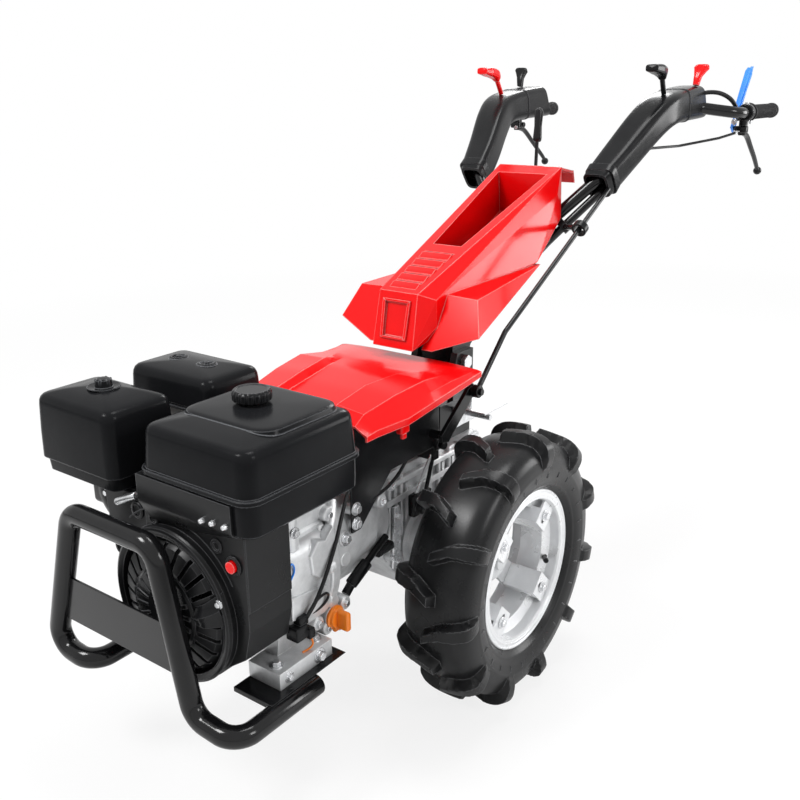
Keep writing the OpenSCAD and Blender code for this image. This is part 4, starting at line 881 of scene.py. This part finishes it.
# crankcase: rings round the crank, a smooth bulge, shield, seat, pipes, and bosses on the flange and the side
crankForm = {
    "centre": (0.0, 0.0, 335.0), "flange": 131.0, "flangeTurns": np.radians((-52, -24, 6, 34, 60)),
    "rings": [(-428, 96), (-428, 112), (-422, 118), (-370, 122), (-324, 125), (-322, 135), (-320, 137), (-304, 137),
              (-302, 135), (-300, 124), (-293, 119), (-293, 96)],
    "shoulder": [(-418, 424), (-300, 424), (-300, 452), (-330, 468), (-418, 468)],
    "shield": [(-374, 388), (-356, 408), (-340, 403), (-320, 420), (-312, 372), (-326, 348), (-352, 340), (-370, 356)],
    "seat": [(-418, 296), (-380, 286), (-338, 296), (-336, 322), (-372, 330), (-418, 336)],
    "column": [(112, -396, 480), (113, -396, 440), (116, -396, 404)],
    "brace": [(112, -292, 448), (122, -304, 424), (128, -322, 396), (130, -330, 366)],
    "padFrom": 92, "pads": ((130, -286, 262), (127, -312, 276), (128, -352, 256), (128, -330, 236), (122, -312, 432))}


def roundCrank(radius, angle, y):
    # a point round the crank's line
    return (radius * math.cos(angle), y, crankForm["centre"][2] + radius * math.sin(angle))


flangeSpots = [roundCrank(crankForm["flange"], a, -320) for a in crankForm["flangeTurns"]]
crankcase = [
    revolve(crankForm["rings"], crankForm["centre"], rearward, 96), sidePlate(crankForm["shoulder"], 60, 52, 4.0),
    pillow((40, -430, 258), (133, -310, 414), 26.0, 32, 64), sidePlate(crankForm["shield"], 122, 17, 2.2),
    sidePlate(crankForm["seat"], 122, 15, 2.0), tube(crankForm["column"], 15.0, 32, 3.0),
    tube(crankForm["brace"], 8.0, 20, 2.0)] + revolved([(0, 13), (9, 12), (11, 10), (11, 0)], flangeSpots, forward, 28)
for x, y, z in crankForm["pads"]:
    high = x - crankForm["padFrom"]
    padProfile = [(0, 13), (high, 12), (high + 2, 10.5), (high + 2, 0)]
    crankcase.append(revolve(padProfile, (crankForm["padFrom"], y, z), leftward, 28))
addPiece("crankcaseDetail", crankcase, "cast_aluminium", "chassis", (), 32.0)

# gearbox and bell housing: oil neck, drain, ribs and bosses
gearForm = {"ribs": (-98, -62, 60, 96, 134),
            "bosses": ((-98, 392), (-98, 250), (-40, 190), (60, 190), (150, 210), (180, 380)),
            "bellBosses": ((-252, 356), (-252, 318), (-150, 386)), "drainLean": (1, 0.1, -0.3), "bellLean": (1, 0, 0.1)}
oilNeck = revolve([(0, 24), (14, 24), (22, 19), (34, 18), (34, 0)], (96, -314, 250), (1.0, 0.12, -0.1), 36)
drain = revolve([(0, 12), (18, 11), (20, 0)], (104, -300, 228), gearForm["drainLean"], 24)
gearRibs = [pillow((70, y - 4, 232), (84, y + 4, 404), 3.0) for y in gearForm["ribs"]]
gearRibs.append(pillow((70, -108, 384), (86, 205, 396), 3.0))
gearBosses = revolved([(0, 11), (12, 10), (13, 8), (13, 0)], [(74, y, z) for y, z in gearForm["bosses"]], leftward, 24)
bellBosses = revolved([(0, 15), (16, 13), (18, 11), (18, 0)], [(88, y, z) for y, z in gearForm["bellBosses"]],
                      gearForm["bellLean"], 28)
addPiece("castingDetail", [oilNeck, drain] + gearRibs + gearBosses + bellBosses, "cast_aluminium", "chassis", (), 32.0)

# bolts and studs of the engine and gearbox, by the way they face
chassisBolts = hexBolts(leftward, [
    (130, -286, 262, 6), (128, -352, 256, 7), (128, -330, 236, 5), (128, -396, 436, 6), (122, -312, 432, 6),
    (108, -226, 404, 7.5), (108, -226, 377, 7.5), (150, -376, 219, 8), (150, -446, 219, 6)])
chassisBolts += hexBolts(leftward, [(87, y, z, 5.5) for y, z in gearForm["bosses"]])
chassisBolts += hexBolts(gearForm["bellLean"], [(106, -252, 358, 7.5), (106, -150, 388, 5)])
chassisBolts += hexBolts(gearForm["drainLean"], [(124, -299, 221, 5)])
chassisBolts += hexBolts(upward, [(128, -362, 233, 7), (128, -450, 233, 7)])
chassisBolts += hexBolts(forward, [(110, -538, 377, 4.6)])
chassisBolts += hexBolts(forward, [(*roundCrank(crankForm["flange"], a, -331), 5.5) for a in crankForm["flangeTurns"]])
studSpots = ((94, -540, 506), (115, -540, 508), (139, -540, 509))
studs = revolved([(0, 4.6), (4, 4.4), (7, 3.2), (8, 0)], studSpots, forward, 16)
addPiece("chassisBolts", chassisBolts + studs, "zinc_steel", "chassis", (), 30.0)

# fan housing: apron that leans out from the panel to the tank's seam, wing towards the carburettor, bosses, button
# collar, starter's lip and pressed lines; the apron's rows are (y, z)
fanForm = {
    "apronX": np.linspace(-47, 149, 15), "footX": (-47, -26, 60, 118, 149), "footZ": (462, 460, 468, 478, 484),
    "back": -515.0, "sideApron": [(-520, 366), (-432, 366), (-432, 490), (-520, 490)],
    "wing": [(-168, 490), (-160, 410), (-140, 362), (-118, 330), (-58, 330), (-58, 490)],
    "wingBosses": ((-135, 384), (-84, 462)), "frontBosses": ((95, 458), (-40, 462)),
    "lines": ((138, 0.5, 1.45), (150, 1.75, 2.3))}
apronFoot = np.interp(fanForm["apronX"], fanForm["footX"], fanForm["footZ"])
apronRows = [(-520.5, apronFoot), (-523, apronFoot + 2), (-538, 494), (-540.5, 500), (-540.5, 541)]
apronFace = np.stack([np.stack(np.broadcast_arrays(fanForm["apronX"], y, z), -1) for y, z in apronRows], 1)
fanTrim = [
    thickSheet(apronFace, apronFace * (1, 0, 1) + (0, fanForm["back"], 0)),
    sidePlate(fanForm["sideApron"], 149.5, 3.0, 1.2),
    plate(fanForm["wing"], (0, -452, 0), leftward, upward, 62, 5.0),
    revolve([(0, 15), (3, 15), (4.5, 13), (4.5, 10.5), (2, 10)], (128, -519.6, 437), forward, 32),
    revolve([(0, 113), (3, 117), (4, 121), (2, 125), (0, 126)], (0, -535, 335), forward, 96)]
fanTrim += revolved([(0, 15), (4, 14), (5, 12), (5, 9), (2, 8), (2, 0)],
                    [(x, -513.5, z) for x, z in fanForm["wingBosses"]], forward, 32)
fanTrim += revolved([(0, 12), (3, 11.5), (4, 10), (4, 7), (1.5, 6), (1.5, 0)],
                    [(x, -519, z) for x, z in fanForm["frontBosses"]], forward, 32)
fanTrim += [tube([roundCrank(r, a, -519.5) for a in np.linspace(start, end, 24)], 1.4, 8)
            for r, start, end in fanForm["lines"]]
addPiece("fanHousingTrim", fanTrim, "engine_black", "chassis", (), 30.0)

# recoil starter: hub, vanes over the slots and one bent spoke
starterForm = {
    "slots": 18, "firstTurn": 0.08, "hub": [(0, 66), (4, 66), (7, 62), (8, 52), (8, 30), (6, 26), (6, 0)],
    "vane": [(34, -2.2), (60, -3.4), (60, 3.4), (34, 2.2)], "vaneAt": (0, -550, 335),
    "spoke": [(64, -548, 345, 1.0), (84, -550, 352, 1.2), (104, -541, 362, 1.6), (112, -537, 368, 1.7)],
    "spokeAcross": (-16, -8, 0, 8, 16), "spokeFold": (3, 1, -4, 1, 3), "spokeThick": 3.0}
starter = [revolve(starterForm["hub"], (0, -543, 335), forward, 72)]
for a in turns(starterForm["slots"]) + starterForm["firstTurn"]:
    out, turn = (math.cos(a), 0, math.sin(a)), (-math.sin(a), 0, math.cos(a))
    starter.append(plate(starterForm["vane"], starterForm["vaneAt"], out, turn, 2.4, 0.5))
spoke = np.stack([smoothPath([(x, y + fold, z + widen * across) for x, y, z, widen in starterForm["spoke"]], 8)
                  for across, fold in zip(starterForm["spokeAcross"], starterForm["spokeFold"])], 1)
starter.append(thickSheet(spoke, spoke + (0, starterForm["spokeThick"], 0)))
addPiece("starterTrim", starter, "black_plastic", "chassis", (), 30.0)

# intake side: carburettor cover, elbow and linkage rod
elbow = tube(smoothPath([(-190, -470, 486), (-190, -472, 455), (-176, -470, 430), (-150, -466, 418)]), 30, 32, 4.0)
intake = [pillow((-222, -500, 432), (-138, -434, 492), 10.0), pillow((-208, -486, 394), (-150, -432, 440), 8.0), elbow]
addPiece("intakeBody", intake, "black_plastic", "chassis", (), 30.0)
intakeRod = tube([(-120, -526, 470), (-100, -520, 480), (-84, -516, 486)], 6.0, 20, 1.5)
intakeBolts = hexBolts(rightward, [(-222, -470, 462, 6)])
intakeBolts += hexBolts(forward, [(-180, -500, 460, 5), (-160, -500, 446, 4)])
addPiece("intakeFittings", [intakeRod] + intakeBolts, "zinc_steel", "chassis")

# oil cap: disc, thumb bar and tab
oilDisc = revolve([(0, 15), (0, 19), (2, 20), (5, 20), (6, 17), (11, 16), (12, 0)], (128, -314, 250), leftward, 40)
oilGrip = [pillow((138, -320, 233), (162, -308, 267), 5.0), pillow((130, -322, 226), (138, -306, 240), 3.0)]
addPiece("oilCap", [oilDisc] + oilGrip, "orange_plastic", "chassis", ["oil_filler_cap"])

# wiring: connector shells and the cords about the engine
connector = [pillow((125, -424, 264), (150, -398, 288), 3.0), pillow((128, -412, 284), (146, -392, 300), 3.0),
             pillow((132, -398, 258), (152, -384, 276), 3.0)]
addPiece("wiringConnector", connector, "black_plastic", "chassis", ["engine_wiring"], 30.0)
engineCords = [
    {"name": "boxLoop", "radius": 2.2, "slot": "cable_black", "stiffness": "medium", "lay": "loose", "route": [
        (142, -396, 292), (147, -388, 308), (149, -371, 319), (147, -352, 318), (143, -342, 307), (139, -347, 295),
        (136, -362, 289), (134, -379, 289), (133, -390, 290)]},
    {"name": "sensorLead", "radius": 1.6, "slot": "orange_plastic", "stiffness": "medium", "lay": "loose", "route": [
        (142, -392, 268), (146, -388, 254), (146, -386, 244), (142, -390, 236), (138, -402, 233.6)]},
    {"name": "fanLead", "radius": 1.6, "slot": "blue_plastic", "stiffness": "medium", "lay": "loose", "route": [
        (150.5, -440, 392), (144, -424, 400), (138, -412, 390), (134, -408, 376), (132, -416, 362)]},
    {"name": "stopCable", "radius": 3.2, "slot": "cable_black", "stiffness": "stiff", "lay": "taut", "route": [
        (141, -392, 292), (145, -372, 316), (145, -348, 348), (141, -318, 390), (131, -288, 426), (120, -262, 446),
        (111.5, -238, 458)]},
    {"name": "hoodCable", "radius": 3.0, "slot": "cable_black", "stiffness": "stiff", "lay": "loose", "route": [
        (96, -60, 470), (100, -64, 452), (102, -78, 436), (104, -104, 420), (106, -136, 410), (106, -164, 406),
        (105, -190, 404)]},
]
for cord in engineCords:
    addCord(cord["name"], cord["route"], cord["radius"], cord["slot"], "chassis")

# damper under the bell housing, brake plate with its pull rod and clevises, hood latch and gearbox filler neck
damper = [tube([(100, -236, 262), (104, -212, 280), (106, -196, 290)], 11, 28, 3.0),
          tube([(104, -200, 287), (106, -170, 304), (104, -140, 316)], 6.0, 20),
          pillow((92, -168, 284), (110, -120, 300), 5.0), tube([(100, -250, 250), (100, -232, 264)], 8, 20, 1.0)]
addPiece("linkDamper", damper, "black_plastic", "chassis", (), 30.0)
brakePlate = sidePlate([(-100, 226), (-78, 226), (-74, 330), (-82, 350), (-96, 350)], 86, 5, 0.8)
pullRod = tube([(100, -46, 356), (100, 8, 424), (100, 20, 440)], 3.0, 16)
brakeBolts = hexBolts(leftward, [(91, -88, 238, 5), (91, -86, 330, 5), (103, -46, 352, 5.5)])
addPiece("brakeSteel", [brakePlate, pullRod] + brakeBolts, "zinc_steel", "chassis", (), 30.0)
clevis = [pillow((92, -58, 318), (108, -36, 362), 4.0),
          revolve([(0, 9), (3, 11), (14, 11), (17, 8), (17, 0)], (104, -44, 336), leftward, 28),
          pillow((90, 10, 428), (110, 34, 452), 4.0),
          revolve([(0, 8), (12, 9), (14, 7), (14, 0)], (108, 22, 440), leftward, 24)]
addPiece("brakeClevis", clevis, "black_steel", "chassis", (), 30.0)
latch = [pillow((142, -160, 524), (156, -136, 552), 4.0), pillow((146, -154, 514), (154, -142, 530), 3.0)]
addPiece("hoodLatch", latch, "red_plastic", "chassis", (), 30.0)
fillerProfile = [(0, 20), (6, 20), (8, 17), (20, 16), (22, 19), (26, 19), (27, 17), (27, 0)]
addPiece("fillerNeck", [revolve(fillerProfile, (58, -52, 410), upward, 40)], "cast_aluminium", "chassis", (), 30.0)

# wheels: rolled flange edges, bead step, valve stem and bracket bolts on both rims
rimForm = {
    "flange": 50.3, "flangeRadius": 144.2, "roll": 3.2, "valveTurn": math.atan2(-116.0, 220.0 - 254.0),
    "valveFoot": (23, 121),
    "step": [(51.5, 140), (52.6, 138), (52.6, 135), (50, 132.5), (44, 130.8), (36, 129.6), (34, 128)],
    "valve": [(0, 8), (3, 7), (6, 4.5), (20, 4.2), (21, 5), (32, 5), (33, 4), (33, 0)],
    "boltCircle": 104.5, "boltFaces": ((1, 44.5), (-1, 28.5)), "boltSize": 7}
rollTurns = np.linspace(0, 2 * np.pi, 13)
rimRoll = np.stack([rimForm["flange"] + rimForm["roll"] * np.sin(rollTurns),
                    rimForm["flangeRadius"] + rimForm["roll"] * np.cos(rollTurns)], -1)


def wheelSpoke(angle):
    # a unit vector from the axle, turned forward from straight up
    return np.array([0, -math.sin(angle), math.cos(angle)])


for side, sign in bothSides:
    centre, outward, body = mirrored(wheelCentre, sign), np.array([sign, 0, 0]), side + "_wheel"
    rims = [revolve(profile, centre, outward, 144) for profile in (rimRoll, rimForm["step"], rimRoll * (-1, 1))]
    addPiece(side + "RimLip", rims, "rim_silver", body, (), 40.0)
    spoke = wheelSpoke(rimForm["valveTurn"])
    foot = centre + spoke * rimForm["valveFoot"][1] + outward * rimForm["valveFoot"][0]
    addPiece(side + "Valve", [revolve(rimForm["valve"], foot, outward * 0.6 - spoke * 0.8, 20)], "black_plastic", body)
    bolts = []
    for angle in turns(4, 0.5):
        at = centre + wheelSpoke(angle) * rimForm["boltCircle"]
        bolts += [hexBolt(at + outward * face * reach, outward * face, rimForm["boltSize"])
                  for face, reach in rimForm["boltFaces"]]
    addPiece(side + "WheelBolts", bolts, "zinc_steel", body, (), 30.0)
print("engine, wheel and linkage details are in")
